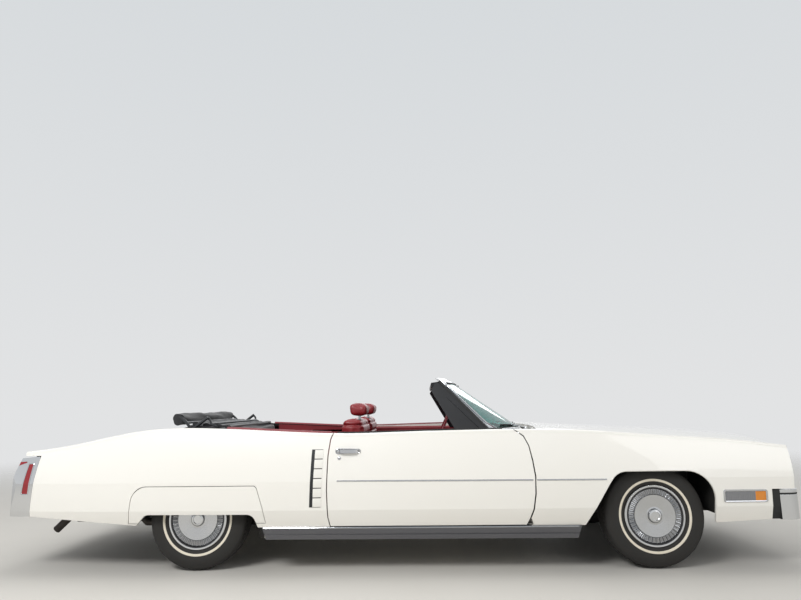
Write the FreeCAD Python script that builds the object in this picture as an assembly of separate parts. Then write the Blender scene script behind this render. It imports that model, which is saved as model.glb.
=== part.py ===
import FreeCAD, Part
import math
import os
from collections import namedtuple

os.makedirs("parts", exist_ok=True)
V = FreeCAD.Vector

# Sizes of the whole car, in millimetres. +X is the nose, +Y the left side, +Z up, ground at zero.
WHEELBASE = 3208.0
FRONT_OVERHANG = 1046.0
REAR_OVERHANG = 1416.0
BODY_WIDTH = 2026.0
WHEEL_INSET = 207.0
TYRE_RADIUS = 350.0
TYRE_WIDTH = 225.0
RIM_RADIUS = 190.5
SKIN = 24.0
PANEL_GAP = 7.0
RUN = 0.05
SEAT_GAP = 0.3
MOVE_GAP = 5.0

HALF_LENGTH = (WHEELBASE + FRONT_OVERHANG + REAR_OVERHANG) / 2
FRONT_AXLE = HALF_LENGTH - FRONT_OVERHANG
REAR_AXLE = FRONT_AXLE - WHEELBASE
HALF_WIDTH = BODY_WIDTH / 2
WHEEL_Y = HALF_WIDTH - WHEEL_INSET
AXLE_Z = TYRE_RADIUS

# Planes clear of the whole body, where cutting forms end
ABOVE = 1100.0
AHEAD = 2900.0
BESIDE = HALF_WIDTH + 60.0


# Small builders
def box(x0, x1, y0, y1, z0, z1):
    return Part.makeBox(x1 - x0, y1 - y0, z1 - z0, V(x0, y0, z0))


def rod(start, end, radius):
    a = V(*start)
    d = V(*end) - a
    return Part.makeCylinder(radius, d.Length, a, d)


def flip(shape):
    return shape.mirror(V(0, 0, 0), V(0, 1, 0))


def pair(shape):
    return [shape, flip(shape)]


def join(shapes):
    first = shapes[0]
    if len(shapes) == 1:
        return first
    return first.fuse(shapes[1:]).removeSplitter()


def group(shapes):
    solids = []
    for shape in shapes:
        solids.extend(shape.Solids)
    if len(solids) == 1:
        return solids[0]
    return Part.makeCompound(solids)


def corner_wire(points, place):
    """A closed wire through corners (a, b, radius); place turns a and b into a point in space."""
    count = len(points)
    edges = []
    last = None
    first = None
    for i in range(count):
        a, b, r = (tuple(points[i]) + (0.0,))[:3]
        here = V(a, b, 0)
        if r > 0:
            before = V(points[i - 1][0], points[i - 1][1], 0) - here
            after = V(points[(i + 1) % count][0], points[(i + 1) % count][1], 0) - here
            before.normalize()
            after.normalize()
            half = before.getAngle(after) / 2
            run = r / math.tan(half)
            start = here + before * run
            end = here + after * run
            mid_way = before + after
            mid_way.normalize()
            middle = here + mid_way * (r / math.sin(half) - r)
            stops = [start, middle, end]
        else:
            stops = [here]
        stops = [place(p.x, p.y) for p in stops]
        if last is not None:
            edges.append(Part.makeLine(last, stops[0]))
        else:
            first = stops[0]
        if len(stops) == 3:
            edges.append(Part.Arc(*stops).toShape())
        last = stops[-1]
    edges.append(Part.makeLine(last, first))
    return Part.Wire(edges)


def side_prism(points, y0, y1):
    wire = corner_wire(points, lambda x, z: V(x, y0, z))
    return Part.Face(wire).extrude(V(0, y1 - y0, 0))


def plan_prism(points, z0, z1):
    wire = corner_wire(points, lambda x, y: V(x, y, z0))
    return Part.Face(wire).extrude(V(0, 0, z1 - z0))


def front_prism(points, x0, x1):
    wire = corner_wire(points, lambda y, z: V(x0, y, z))
    return Part.Face(wire).extrude(V(x1 - x0, 0, 0))


def turned(points, centre_x, centre_y, centre_z):
    """A ring turned about a line along Y; each corner is (radius, offset along Y, rounding)."""
    wire = corner_wire(points, lambda r, y: V(centre_x, centre_y + y, centre_z + r))
    return Part.Face(wire).revolve(V(centre_x, centre_y, centre_z), V(0, 1, 0), 360)


def grown(points, margin):
    """The same outline with every side moved outward by margin."""
    area = 0.0
    count = len(points)
    for i in range(count):
        p, q = points[i], points[(i + 1) % count]
        area += p[0] * q[1] - q[0] * p[1]
    sign = 1.0 if area > 0 else -1.0
    out = []
    for i in range(count):
        a, p, b = points[i - 1], points[i], points[(i + 1) % count]
        d0 = V(p[0] - a[0], p[1] - a[1], 0)
        d1 = V(b[0] - p[0], b[1] - p[1], 0)
        d0.normalize()
        d1.normalize()
        n0 = V(d0.y, -d0.x, 0) * sign
        n1 = V(d1.y, -d1.x, 0) * sign
        mitre = n0 + n1
        mitre = mitre * (2 * margin / (mitre.Length ** 2))
        radius = p[2] if len(p) > 2 else 0.0
        out.append((p[0] + mitre.x, p[1] + mitre.y, radius))
    return out


def save(name, shape):
    shape.exportStep("parts/" + name + ".step")


# Outer form of the body, one section per row, for the left half
Section = namedtuple("Section", "x edge_z mid_z edge_in side_in")
SECTIONS = [
    Section(-2860.0, 804.0, 774.0, 122.0, 72.0),
    Section(-2620.0, 842.0, 818.0, 105.0, 50.0),
    Section(-2362.0, 878.0, 858.0, 91.0, 30.0),
    Section(-1820.0, 975.0, 955.0, 74.0, 7.0),
    Section(-1400.0, 985.0, 967.0, 68.0, 0.0),
    Section(-760.0, 951.0, 940.0, 65.0, 0.0),
    Section(-450.0, 938.0, 930.0, 65.0, 0.0),
    Section(200.0, 946.0, 940.0, 65.0, 0.0),
    Section(850.0, 952.0, 952.0, 67.0, 2.0),
    Section(1300.0, 942.0, 948.0, 75.0, 9.0),
    Section(1650.0, 917.0, 936.0, 81.0, 15.0),
    Section(2000.0, 891.0, 919.0, 88.0, 22.0),
    Section(2430.0, 857.0, 890.0, 97.0, 33.0),
    Section(2860.0, 812.0, 848.0, 112.0, 50.0),
]
EDGE_ROUND = 22.0
CREASE_Z = 612.0
LOW_Z = 420.0
LOW_IN = 10.0
BASE_Z = 290.0
BASE_IN = 52.0
HOOD_EDGE_Y = HALF_WIDTH - 273.0
VALLEY = 6.0
OPEN_BELOW = 90.0


def bend(a, pole, b):
    curve = Part.BezierCurve()
    curve.setPoles([a, pole, b])
    return curve.toShape()


def half_section(row, skin, drop):
    x = row.x
    edge_y = HALF_WIDTH - row.edge_in - skin
    side_y = HALF_WIDTH - row.side_in - skin
    edge_z = row.edge_z - skin
    mid_z = row.mid_z - skin
    base_z = BASE_Z - drop
    hood_y = HOOD_EDGE_Y - row.side_in - skin * 0.4
    foot = V(x, 0, base_z)
    base = V(x, side_y - BASE_IN, base_z)
    low = V(x, side_y - LOW_IN, LOW_Z)
    crease = V(x, side_y, CREASE_Z)
    side = V(x, edge_y, edge_z - EDGE_ROUND)
    edge = V(x, edge_y - EDGE_ROUND, edge_z)
    valley = V(x, hood_y, edge_z - VALLEY)
    middle = V(x, 0, mid_z)
    low_pole = V(x, side_y, (LOW_Z + CREASE_Z) / 2)
    side_pole = V(x, edge_y + 0.72 * (side_y - edge_y), (CREASE_Z + edge_z) / 2)
    edge_pole = V(x, edge_y, edge_z)
    top_pole = V(x, hood_y / 2, mid_z)
    return Part.Wire([
        Part.makeLine(foot, base),
        Part.makeLine(base, low),
        bend(low, low_pole, crease),
        bend(crease, side_pole, side),
        bend(side, edge_pole, edge),
        Part.makeLine(edge, valley),
        bend(valley, top_pole, middle),
        Part.makeLine(middle, foot),
    ])


def half_form(skin, drop):
    return Part.makeLoft([half_section(row, skin, drop) for row in SECTIONS], True, False)


OUTER = half_form(0.0, 0.0)
INNER = half_form(SKIN, OPEN_BELOW)
ROOM = half_form(SKIN + SEAT_GAP, OPEN_BELOW)
SHELL = OUTER.cut(INNER)

# Door outline seen from the side, front edge from top to bottom, then back edge
DOOR_BOTTOM = 309.0
DOOR_OUTLINE = [
    (790.0, 989.0), (844.0, 941.0), (900.0, 902.0), (931.0, 839.0), (950.0, 735.0), (962.0, 630.0),
    (958.0, 519.0), (942.0, 417.0), (918.0, 353.0), (895.0, DOOR_BOTTOM),
    (-459.0, DOOR_BOTTOM), (-473.0, 371.0), (-480.0, 550.0), (-475.0, 786.0), (-461.0, 897.0),
    (-443.0, 938.0), (-430.0, 985.0),
]
DOOR_SKIN = 30.0
DOOR_INNER_Y = HALF_WIDTH - 173.0
DOOR_CORE_IN = 34.0
HINGE_X = 917.0
HINGE_Y = HALF_WIDTH - 41.0
HINGE_ZS = (455.0, 650.0)
SWING_GAP = MOVE_GAP + 2.0
DOOR_FRONT_COUNT = 10
door_gap_cutter = side_prism(grown(DOOR_OUTLINE, PANEL_GAP), 600.0, BESIDE)


def body_y_at(x, z):
    """Half width of the outer form at a place seen from the side."""
    line = Part.makeLine(V(x, 0, z), V(x, BESIDE, z))
    return OUTER.common(line).BoundBox.YMax


def swing_radius(x, z):
    """Reach of the door's front edge about the hinge line, with its clearance."""
    return math.hypot(x - HINGE_X, body_y_at(x, z) - HINGE_Y) + SWING_GAP


# Room in the fender for the door's front edge as it swings in
relief_points = [(swing_radius(x, z), z) for x, z in DOOR_OUTLINE[3:DOOR_FRONT_COUNT]]
relief_points = [(0.0, relief_points[0][1] + 20.0)] + relief_points + [(0.0, relief_points[-1][1] - 20.0)]
relief_wire = corner_wire(relief_points, lambda r, z: V(HINGE_X + r, HINGE_Y, z))
hinge_relief = Part.Face(relief_wire).revolve(V(HINGE_X, HINGE_Y, 0), V(0, 0, 1), 360)

# Front wheel opening, about the axle
ARCH_TOP = 661.0
arch = side_prism([
    (FRONT_AXLE - 541.0, 220.0), (FRONT_AXLE - 266.0, ARCH_TOP, 130.0),
    (FRONT_AXLE + 396.0, ARCH_TOP, 190.0), (FRONT_AXLE + 400.0, 220.0),
], 480.0, BESIDE)

# Ends of the painted body
NOSE_X = HALF_LENGTH - 98.0
TAIL_X = -HALF_LENGTH + 118.0
BUMPER_TOP = 529.0
GASKET_X = NOSE_X - 170.0
GASKET_LONG = 55.0
HOOD_BACK_MID = 1088.0
HOOD_BACK_SIDE = 1030.0
HOOD_FRONT = NOSE_X - 6.0
SILL_Z = 303.0
LID_FRONT = -1860.0
LID_BACK = TAIL_X + 6.0
LID_HALF = HALF_WIDTH - 323.0
LID_CORNER = 30.0
COCKPIT_HALF = HALF_WIDTH - 213.0
WELL_HALF = HALF_WIDTH - 323.0
WELL_BACK = -1745.0


def hood_half_at(x):
    """Half width of the hood, following the kink between hood and fender top."""
    rows = SECTIONS
    for left, right in zip(rows, rows[1:]):
        if left.x <= x <= right.x:
            share = (x - left.x) / (right.x - left.x)
            return HOOD_EDGE_Y - left.side_in - share * (right.side_in - left.side_in)
    return HOOD_EDGE_Y


def hood_plan(margin):
    front_half = hood_half_at(HOOD_FRONT)
    back_half = hood_half_at(1300.0)
    return [
        (HOOD_FRONT + margin, -1.0), (HOOD_FRONT + margin, front_half + margin),
        (2000.0, hood_half_at(2000.0) + margin), (1300.0, back_half + margin),
        (HOOD_BACK_SIDE - margin, HOOD_EDGE_Y + margin), (HOOD_BACK_MID - 12.0 - margin, 380.0),
        (HOOD_BACK_MID - margin, -1.0),
    ]


def lid_plan(margin):
    return [
        (LID_BACK - margin, -1.0), (LID_BACK - margin, LID_HALF - 30.0 + margin),
        (LID_FRONT + margin, LID_HALF + margin, LID_CORNER), (LID_FRONT + margin, -1.0),
    ]


hood_zone = plan_prism(hood_plan(0.0), 700.0, ABOVE)
hood_gap_zone = plan_prism(hood_plan(PANEL_GAP), 600.0, ABOVE)
lid_zone = plan_prism(lid_plan(0.0), 600.0, ABOVE)
lid_gap_zone = plan_prism(lid_plan(PANEL_GAP), 560.0, ABOVE)
cowl_zone = box(600.0, HOOD_BACK_MID + 60.0, -1.0, HOOD_EDGE_Y + PANEL_GAP, 600.0, ABOVE)
cockpit_zone = plan_prism([
    (WELL_BACK, -1.0), (WELL_BACK, WELL_HALF, 120.0), (-1150.0, COCKPIT_HALF - 60.0),
    (-480.0, COCKPIT_HALF), (860.0, COCKPIT_HALF), (860.0, -1.0),
], 600.0, ABOVE)

# Fenders, from the door gap to the nose
LAMP_X0 = GASKET_X - 326.0
LAMP_X1 = GASKET_X - 38.0
LAMP_Z0 = 452.0
LAMP_Z1 = 525.0
LAMP_SPLIT = LAMP_X1 - 76.0
fender_zone = side_prism([
    (760.0, ABOVE), (NOSE_X - 4.0, ABOVE), (NOSE_X, 780.0, 30.0), (NOSE_X - 15.0, BUMPER_TOP + 3.0),
    (GASKET_X, BUMPER_TOP + 3.0), (GASKET_X, 329.0), (FRONT_AXLE + 380.0, 309.0),
    (FRONT_AXLE - 400.0, SILL_Z),
    (760.0, SILL_Z),
], 0.0, BESIDE)
fender = SHELL.common(fender_zone)
fender = fender.cut(door_gap_cutter)
fender = fender.cut(arch)
fender = fender.cut(hood_gap_zone)
fender = fender.cut(cowl_zone)
fender = fender.cut(box(500.0, AHEAD, -1.0, 560.0, 200.0, ABOVE))
fender = fender.cut(hinge_relief)
lamp_window = side_prism([
    (LAMP_X0, LAMP_Z0, 8.0), (LAMP_X1, LAMP_Z0, 8.0), (LAMP_X1, LAMP_Z1, 8.0), (LAMP_X0, LAMP_Z1, 8.0),
], 700.0, BESIDE)
fender = fender.cut(lamp_window)
save("fenders", group(pair(fender)))

# Side lamps in the fenders: clear rear part, amber front part
LAMP_DEEP = 85.0
lamp_body = OUTER.common(side_prism([
    (LAMP_X0 + SEAT_GAP, LAMP_Z0 + SEAT_GAP, 8.0), (LAMP_X1 - SEAT_GAP, LAMP_Z0 + SEAT_GAP, 8.0),
    (LAMP_X1 - SEAT_GAP, LAMP_Z1 - SEAT_GAP, 8.0), (LAMP_X0 + SEAT_GAP, LAMP_Z1 - SEAT_GAP, 8.0),
], HALF_WIDTH - LAMP_DEEP, BESIDE))
clear_lamp = lamp_body.common(box(LAMP_X0 - 5.0, LAMP_SPLIT, 700.0, BESIDE, 400.0, 600.0))
amber_lamp = lamp_body.common(box(LAMP_SPLIT, LAMP_X1 + 5.0, 700.0, BESIDE, 400.0, 600.0))
save("side_lamps_clear", group(pair(clear_lamp)))
save("side_lamps_amber", group(pair(amber_lamp)))

# Quarters, from the door gap to the tail
SKIRT_GAP = 4.0
SKIRT_OUTLINE = [
    (REAR_AXLE - 472.0, 335.0), (REAR_AXLE - 440.0, 586.0, 115.0), (REAR_AXLE + 436.0, 586.0, 30.0),
    (REAR_AXLE + 482.0, 440.0, 60.0), (REAR_AXLE + 502.0, 335.0),
]
SKIRT_NOTCH = [
    (REAR_AXLE - 408.0, 330.0), (REAR_AXLE - 350.0, 395.0, 60.0), (REAR_AXLE + 415.0, 393.0, 60.0),
    (REAR_AXLE + 468.0, 250.0), (REAR_AXLE - 480.0, 250.0),
]
TAIL_CAP = [
    (TAIL_X - 18.0, 786.0), (TAIL_X + 123.0, 798.0, 12.0), (TAIL_X + 90.0, 383.0),
    (-HALF_LENGTH + 26.0, 383.0, 10.0), (-HALF_LENGTH, 430.0, 12.0),
]
quarter_zone = side_prism([
    (-380.0, ABOVE), (-380.0, SILL_Z), (REAR_AXLE + 420.0, SILL_Z), (REAR_AXLE - 413.0, 319.0),
    (TAIL_X + 91.0, 383.0), (TAIL_X + 125.0, 802.0), (TAIL_X, 802.0, 10.0), (TAIL_X + 6.0, ABOVE),
], 0.0, BESIDE)
quarter = SHELL.common(quarter_zone)
quarter = quarter.cut(door_gap_cutter)
quarter = quarter.cut(side_prism(grown(SKIRT_OUTLINE, SKIRT_GAP), 600.0, BESIDE))
quarter = quarter.cut(side_prism(SKIRT_NOTCH, 600.0, BESIDE))
quarter = quarter.cut(lid_gap_zone)
quarter = quarter.cut(cockpit_zone)
quarter = quarter.cut(box(-AHEAD, -300.0, -1.0, LID_HALF - 20.0, 200.0, ABOVE))
VENT_X = -565.0
VENT_HALF = 31.0
VENT_Z0 = 440.0
VENT_Z1 = 829.0
VENT_COUNT = 7
VENT_LEAN = 12.0
vent_pitch = (VENT_Z1 - VENT_Z0) / VENT_COUNT
for i in range(VENT_COUNT):
    low = VENT_Z0 + vent_pitch * (i + 0.28)
    high = low + vent_pitch * 0.44
    shift = VENT_LEAN * ((low + high) / 2 - VENT_Z0) / (VENT_Z1 - VENT_Z0)
    slit = side_prism([
        (VENT_X - VENT_HALF + shift, low), (VENT_X + VENT_HALF + shift, low + 5.0),
        (VENT_X + VENT_HALF + shift, low + 9.0), (VENT_X - VENT_HALF + shift, high),
    ], HALF_WIDTH - 110.0, BESIDE)
    quarter = quarter.cut(slit)
save("quarters", group(pair(quarter)))

# Removable covers over the rear wheels
SKIRT_LIP = 6.0
SKIRT_LAP = 14.0
skirt_inside = half_form(SKIN + SEAT_GAP + SKIRT_LIP, OPEN_BELOW)
skirt_face = OUTER.cut(skirt_inside).common(side_prism(SKIRT_OUTLINE, 600.0, BESIDE))
skirt_lip = ROOM.cut(skirt_inside).common(side_prism(grown(SKIRT_OUTLINE, SKIRT_LAP), 600.0, BESIDE))
skirt = join([skirt_face, skirt_lip]).cut(side_prism(SKIRT_NOTCH, 600.0, BESIDE))
save("skirts", group(pair(skirt)))

# Hood and boot lid
hood_half = SHELL.common(hood_zone).common(box(900.0, AHEAD, -1.0, 800.0, 650.0, ABOVE))
HOOD_HINGE_X = 958.0
HOOD_HINGE_Z = 855.0
HOOD_ARM_Y = HALF_WIDTH - 373.0
ARM_HALF = 8.0
HINGE_PIN = 6.0
ARM_BOSS = 13.0


def hood_top_at(x):
    rows = SECTIONS
    for left, right in zip(rows, rows[1:]):
        if left.x <= x <= right.x:
            share = (x - left.x) / (right.x - left.x)
            return left.edge_z + share * (right.edge_z - left.edge_z) - VALLEY
    return rows[-1].edge_z


def goose_arm(hinge_x, hinge_z, reach, top, forward, hook):
    """A hooked hinge arm in side view; forward is +1 for an arm that runs to the nose."""
    s = forward
    plate = side_prism([
        (hinge_x - s * ARM_BOSS, hinge_z + ARM_BOSS, 6.0), (hinge_x + s * ARM_BOSS, hinge_z + ARM_BOSS, 6.0),
        (hinge_x + s * ARM_BOSS, hinge_z - hook), (hinge_x + s * (reach - 20.0), hinge_z - hook),
        (hinge_x + s * (reach - 20.0), top), (hinge_x + s * reach, top),
        (hinge_x + s * reach, hinge_z - hook - 20.0), (hinge_x - s * ARM_BOSS, hinge_z - hook - 20.0),
    ], HOOD_ARM_Y - ARM_HALF, HOOD_ARM_Y + ARM_HALF)
    bore = rod((hinge_x, HOOD_ARM_Y - 30.0, hinge_z), (hinge_x, HOOD_ARM_Y + 30.0, hinge_z), HINGE_PIN + RUN)
    return plate.cut(bore)


ARM_REACH = 124.0
hood_arm = goose_arm(
    HOOD_HINGE_X, HOOD_HINGE_Z, ARM_REACH, hood_top_at(HOOD_HINGE_X + ARM_REACH) - 12.0, 1.0, 24.0
)
hood = join([hood_half, flip(hood_half), hood_arm, flip(hood_arm)])
save("hood", hood)

LID_HINGE_X = LID_FRONT + 80.0
LID_HINGE_Z = hood_top_at(LID_FRONT) - 66.0
lid_half = SHELL.common(lid_zone).common(box(-AHEAD, LID_FRONT + 1.0, -1.0, 800.0, 600.0, ABOVE))
lid_front_z = hood_top_at(LID_FRONT)
LID_SLANT = 12.0
lid_half = lid_half.cut(side_prism([
    (LID_FRONT, lid_front_z + 4.0), (LID_FRONT + 40.0, lid_front_z + 4.0),
    (LID_FRONT + 40.0, lid_front_z - 60.0),
    (LID_FRONT - LID_SLANT * 60.0 / SKIN, lid_front_z - 60.0),
], -1.0, 800.0))
lid_arm = goose_arm(
    LID_HINGE_X, LID_HINGE_Z, ARM_REACH, hood_top_at(LID_HINGE_X - ARM_REACH) - 14.0, -1.0, 52.0
)
trunk_lid = join([lid_half, flip(lid_half), lid_arm, flip(lid_arm)])
save("trunk_lid", trunk_lid)

# Deck between the top well and the boot lid, with the tail panel under the lid's back edge
deck_half = SHELL.common(box(LID_FRONT - 30.0, WELL_BACK + 200.0, -1.0, LID_HALF - 20.0, 600.0, ABOVE))
deck_half = deck_half.cut(lid_gap_zone)
deck_half = deck_half.cut(cockpit_zone)
TAIL_HALF = HALF_WIDTH - 213.0
tail_top = hood_top_at(TAIL_X) - SKIN - 24.0
TAIL_PANEL = [
    (TAIL_X + 10.0, tail_top), (TAIL_X + 30.0, tail_top), (TAIL_X + 5.0, 400.0), (TAIL_X - 15.0, 400.0),
]
tail_panel = side_prism(TAIL_PANEL, -TAIL_HALF, TAIL_HALF)
save("rear_deck", group([join([deck_half, flip(deck_half)]), tail_panel]))

# Doors: outer skin and a narrower core, with hinge straps at the front
HINGE_PIN_R = 6.0
BARREL_R = 10.0
BARREL_TALL = 22.0
STRAP_HALF = 8.0
HINGE_POCKET = 26.0
door_skin = OUTER.cut(half_form(DOOR_SKIN, OPEN_BELOW)).common(side_prism(DOOR_OUTLINE, 780.0, BESIDE))
door_skin = door_skin.common(box(-600.0, 1000.0, DOOR_INNER_Y, BESIDE, 200.0, ABOVE))
core_outline = grown(DOOR_OUTLINE, -DOOR_CORE_IN)
door_core = OUTER.common(side_prism(core_outline, DOOR_INNER_Y, BESIDE))
door_core = door_core.cut(box(HINGE_X - 40.0, 1000.0, 700.0, BESIDE, 300.0, 900.0))
door_top = OUTER.common(side_prism([
    (core_outline[0][0], 900.0), (780.0, 1000.0), (-428.0, 1000.0), (-428.0, 900.0),
], DOOR_INNER_Y, BESIDE)).common(side_prism(DOOR_OUTLINE, 780.0, BESIDE))
door = join([door_skin, door_core, door_top])
straps = []
for hinge_z in HINGE_ZS:
    door = door.cut(Part.makeCylinder(
        HINGE_POCKET, 2 * (BARREL_TALL + MOVE_GAP), V(HINGE_X, HINGE_Y, hinge_z - BARREL_TALL - MOVE_GAP)))
    strap = box(
        HINGE_X - 60.0, HINGE_X, HINGE_Y - STRAP_HALF, HINGE_Y + STRAP_HALF, hinge_z,
        hinge_z + BARREL_TALL
    )
    barrel = Part.makeCylinder(BARREL_R, BARREL_TALL, V(HINGE_X, HINGE_Y, hinge_z))
    hole = Part.makeCylinder(HINGE_PIN_R + RUN, BARREL_TALL, V(HINGE_X, HINGE_Y, hinge_z))
    straps.append(strap.fuse(barrel).cut(hole))
door = join([door] + straps)
window_slot = box(-380.0, 760.0, DOOR_INNER_Y + 38.0, DOOR_INNER_Y + 48.0, 900.0, ABOVE)
door = door.cut(window_slot)
save("door_left", door)
save("door_right", flip(door))

# Inner faces of the doors, with armrests
TRIM_THICK = 24.0
trim = side_prism([
    (800.0, 925.0, 30.0), (880.0, 800.0, 60.0), (870.0, 380.0, 30.0), (-425.0, 380.0, 30.0),
    (-425.0, 925.0, 30.0),
], DOOR_INNER_Y - TRIM_THICK, DOOR_INNER_Y)
armrest = side_prism([
    (420.0, 655.0, 20.0), (380.0, 585.0, 20.0), (-330.0, 600.0, 20.0), (-330.0, 690.0, 20.0),
    (60.0, 690.0, 30.0),
], DOOR_INNER_Y - TRIM_THICK - 55.0, DOOR_INNER_Y - TRIM_THICK)
door_trim = join([trim, armrest])
save("door_trim_left", door_trim)
save("door_trim_right", flip(door_trim))

# Mirror on the driver's door
MIRROR_X = 478.0
MIRROR_Y = HALF_WIDTH - 78.0
MIRROR_Z = 990.0
MIRROR_R = 37.0
mirror_head = Part.makeCylinder(MIRROR_R, 76.0, V(MIRROR_X - 38.0, MIRROR_Y, MIRROR_Z), V(1, 0, 0))
mirror_rims = [e for e in mirror_head.Edges if abs(e.Length - 2 * math.pi * MIRROR_R) < 1.0]
mirror_head = mirror_head.makeFillet(12.0, [e for e in mirror_rims if e.BoundBox.XMin > MIRROR_X])
mirror_foot = rod((MIRROR_X, MIRROR_Y - 8.0, 930.0), (MIRROR_X, MIRROR_Y, MIRROR_Z - 20.0), 11.0)
mirror_foot = mirror_foot.cut(OUTER)
save("door_mirror", join([mirror_head, mirror_foot]))

# Front bumper: a deep bar turned round the corners, with a blade groove and two guards
BAR_THICK = 34.0
BAR_LOW = 329.0
CORNER_ROUND = 85.0
front_bar_x = HALF_LENGTH - 22.0
bar_half = HALF_WIDTH - 50.0
bar_z1 = BUMPER_TOP - 3.0
bar_start = GASKET_X + GASKET_LONG
bar_outer = [
    (bar_start, -1.0), (bar_start, bar_half), (front_bar_x - 45.0, bar_half - 8.0, CORNER_ROUND),
    (front_bar_x, 560.0, 200.0), (front_bar_x, -1.0),
]
bar_inner = [
    (bar_start - 10.0, -1.0), (bar_start - 10.0, bar_half - 34.0),
    (front_bar_x - 45.0 - BAR_THICK, bar_half - 42.0, 45.0),
    (front_bar_x - BAR_THICK, 530.0, 160.0), (front_bar_x - BAR_THICK, -1.0),
]
bar = plan_prism(bar_outer, BAR_LOW, bar_z1).cut(plan_prism(bar_inner, BAR_LOW + 16.0, bar_z1 - 16.0))
bar = bar.cut(plan_prism(bar_inner, BAR_LOW - 10.0, BAR_LOW + 30.0))
GROOVE_DEEP = 7.0
GROOVE_Z = 492.0
GROOVE_TALL = 12.0
groove_core = plan_prism([
    (bar_start - 5.0, -2.0), (bar_start - 5.0, bar_half - GROOVE_DEEP),
    (front_bar_x - 45.0 - GROOVE_DEEP, bar_half - 8.0 - GROOVE_DEEP, CORNER_ROUND - GROOVE_DEEP),
    (front_bar_x - GROOVE_DEEP, 558.0, 200.0), (front_bar_x - GROOVE_DEEP, -2.0),
], GROOVE_Z - 5.0, GROOVE_Z + GROOVE_TALL + 5.0)
groove = box(bar_start - 20.0, AHEAD, -3.0, ABOVE, GROOVE_Z, GROOVE_Z + GROOVE_TALL).cut(groove_core)
bar = bar.cut(groove)
GUARD_Y = 430.0
GUARD_HALF = 36.0
GRILLE_BACK = NOSE_X - 12.0
GRILLE_DEEP = 50.0
guard_back = GRILLE_BACK + GRILLE_DEEP + 4.0
guard = side_prism([
    (guard_back, 300.0, 12.0), (HALF_LENGTH - 8.0, 300.0, 16.0), (HALF_LENGTH, 470.0, 20.0),
    (HALF_LENGTH - 16.0, 640.0, 16.0), (guard_back, 640.0, 12.0),
], GUARD_Y - GUARD_HALF, GUARD_Y + GUARD_HALF)
PLATE_HOLE_R = 3.5
PLATE_HOLE_Y = 88.9
PLATE_HOLE_Z = 60.325
PLATE_MID_Z = 412.0
plate_holes = []
for hole_y in (-PLATE_HOLE_Y, PLATE_HOLE_Y):
    for hole_z in (PLATE_MID_Z - PLATE_HOLE_Z, PLATE_MID_Z + PLATE_HOLE_Z):
        plate_holes.append(
            rod((front_bar_x - 60.0, hole_y, hole_z), (front_bar_x + 20.0, hole_y, hole_z), PLATE_HOLE_R)
        )
front_bumper = join([bar, flip(bar), guard, flip(guard)]).cut(Part.makeCompound(plate_holes))
save("front_bumper", front_bumper)

# Soft filler strips between bumpers and body
filler = SHELL.common(side_prism([
    (GASKET_X + 1.0, BAR_LOW + 2.0), (bar_start - SEAT_GAP, BAR_LOW + 2.0),
    (bar_start - SEAT_GAP, BUMPER_TOP - 3.0),
    (GASKET_X + 1.0, BUMPER_TOP - 3.0),
], 700.0, BESIDE))
filler = filler.cut(OUTER.cut(half_form(6.0, OPEN_BELOW)))
save("bumper_fillers", group(pair(filler)))

# Grille: surround, blades and uprights between the lamps
GRILLE_HALF = HALF_WIDTH - 468.0
GRILLE_LOW = 540.0
GRILLE_TOP = 800.0
SURROUND = 20.0
BLADE = 4.0
BLADE_COUNT = 9
UPRIGHT_COUNT = 27
frame_outer = front_prism([
    (-GRILLE_HALF, GRILLE_LOW, 14.0), (GRILLE_HALF, GRILLE_LOW, 14.0), (GRILLE_HALF, GRILLE_TOP, 14.0),
    (0.0, GRILLE_TOP + 20.0), (-GRILLE_HALF, GRILLE_TOP, 14.0),
], GRILLE_BACK, GRILLE_BACK + GRILLE_DEEP)
opening = front_prism([
    (-GRILLE_HALF + SURROUND, GRILLE_LOW + SURROUND), (GRILLE_HALF - SURROUND, GRILLE_LOW + SURROUND),
    (GRILLE_HALF - SURROUND, GRILLE_TOP - SURROUND), (0.0, GRILLE_TOP + 20.0 - SURROUND * 1.6),
    (-GRILLE_HALF + SURROUND, GRILLE_TOP - SURROUND),
], GRILLE_BACK - 5.0, GRILLE_BACK + GRILLE_DEEP + 5.0)
surround = frame_outer.cut(opening)
blades = []
inner_low = GRILLE_LOW + SURROUND
inner_top = GRILLE_TOP - SURROUND
inner_half = GRILLE_HALF - SURROUND
for i in range(BLADE_COUNT):
    z = inner_low + (inner_top - inner_low) * (i + 1) / (BLADE_COUNT + 1)
    blades.append(
        box(
            GRILLE_BACK + 6.0, GRILLE_BACK + 22.0, -inner_half - 2.0, inner_half + 2.0, z - BLADE / 2,
            z + BLADE / 2
        )
    )
for i in range(UPRIGHT_COUNT):
    y = -inner_half + 2 * inner_half * (i + 1) / (UPRIGHT_COUNT + 1)
    blades.append(
        box(
            GRILLE_BACK + 22.0, GRILLE_BACK + 32.0, y - BLADE / 2, y + BLADE / 2, inner_low - 2.0,
            inner_top + 2.0
        )
    )
grille = surround.fuse(blades)
save("grille", grille)

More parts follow.
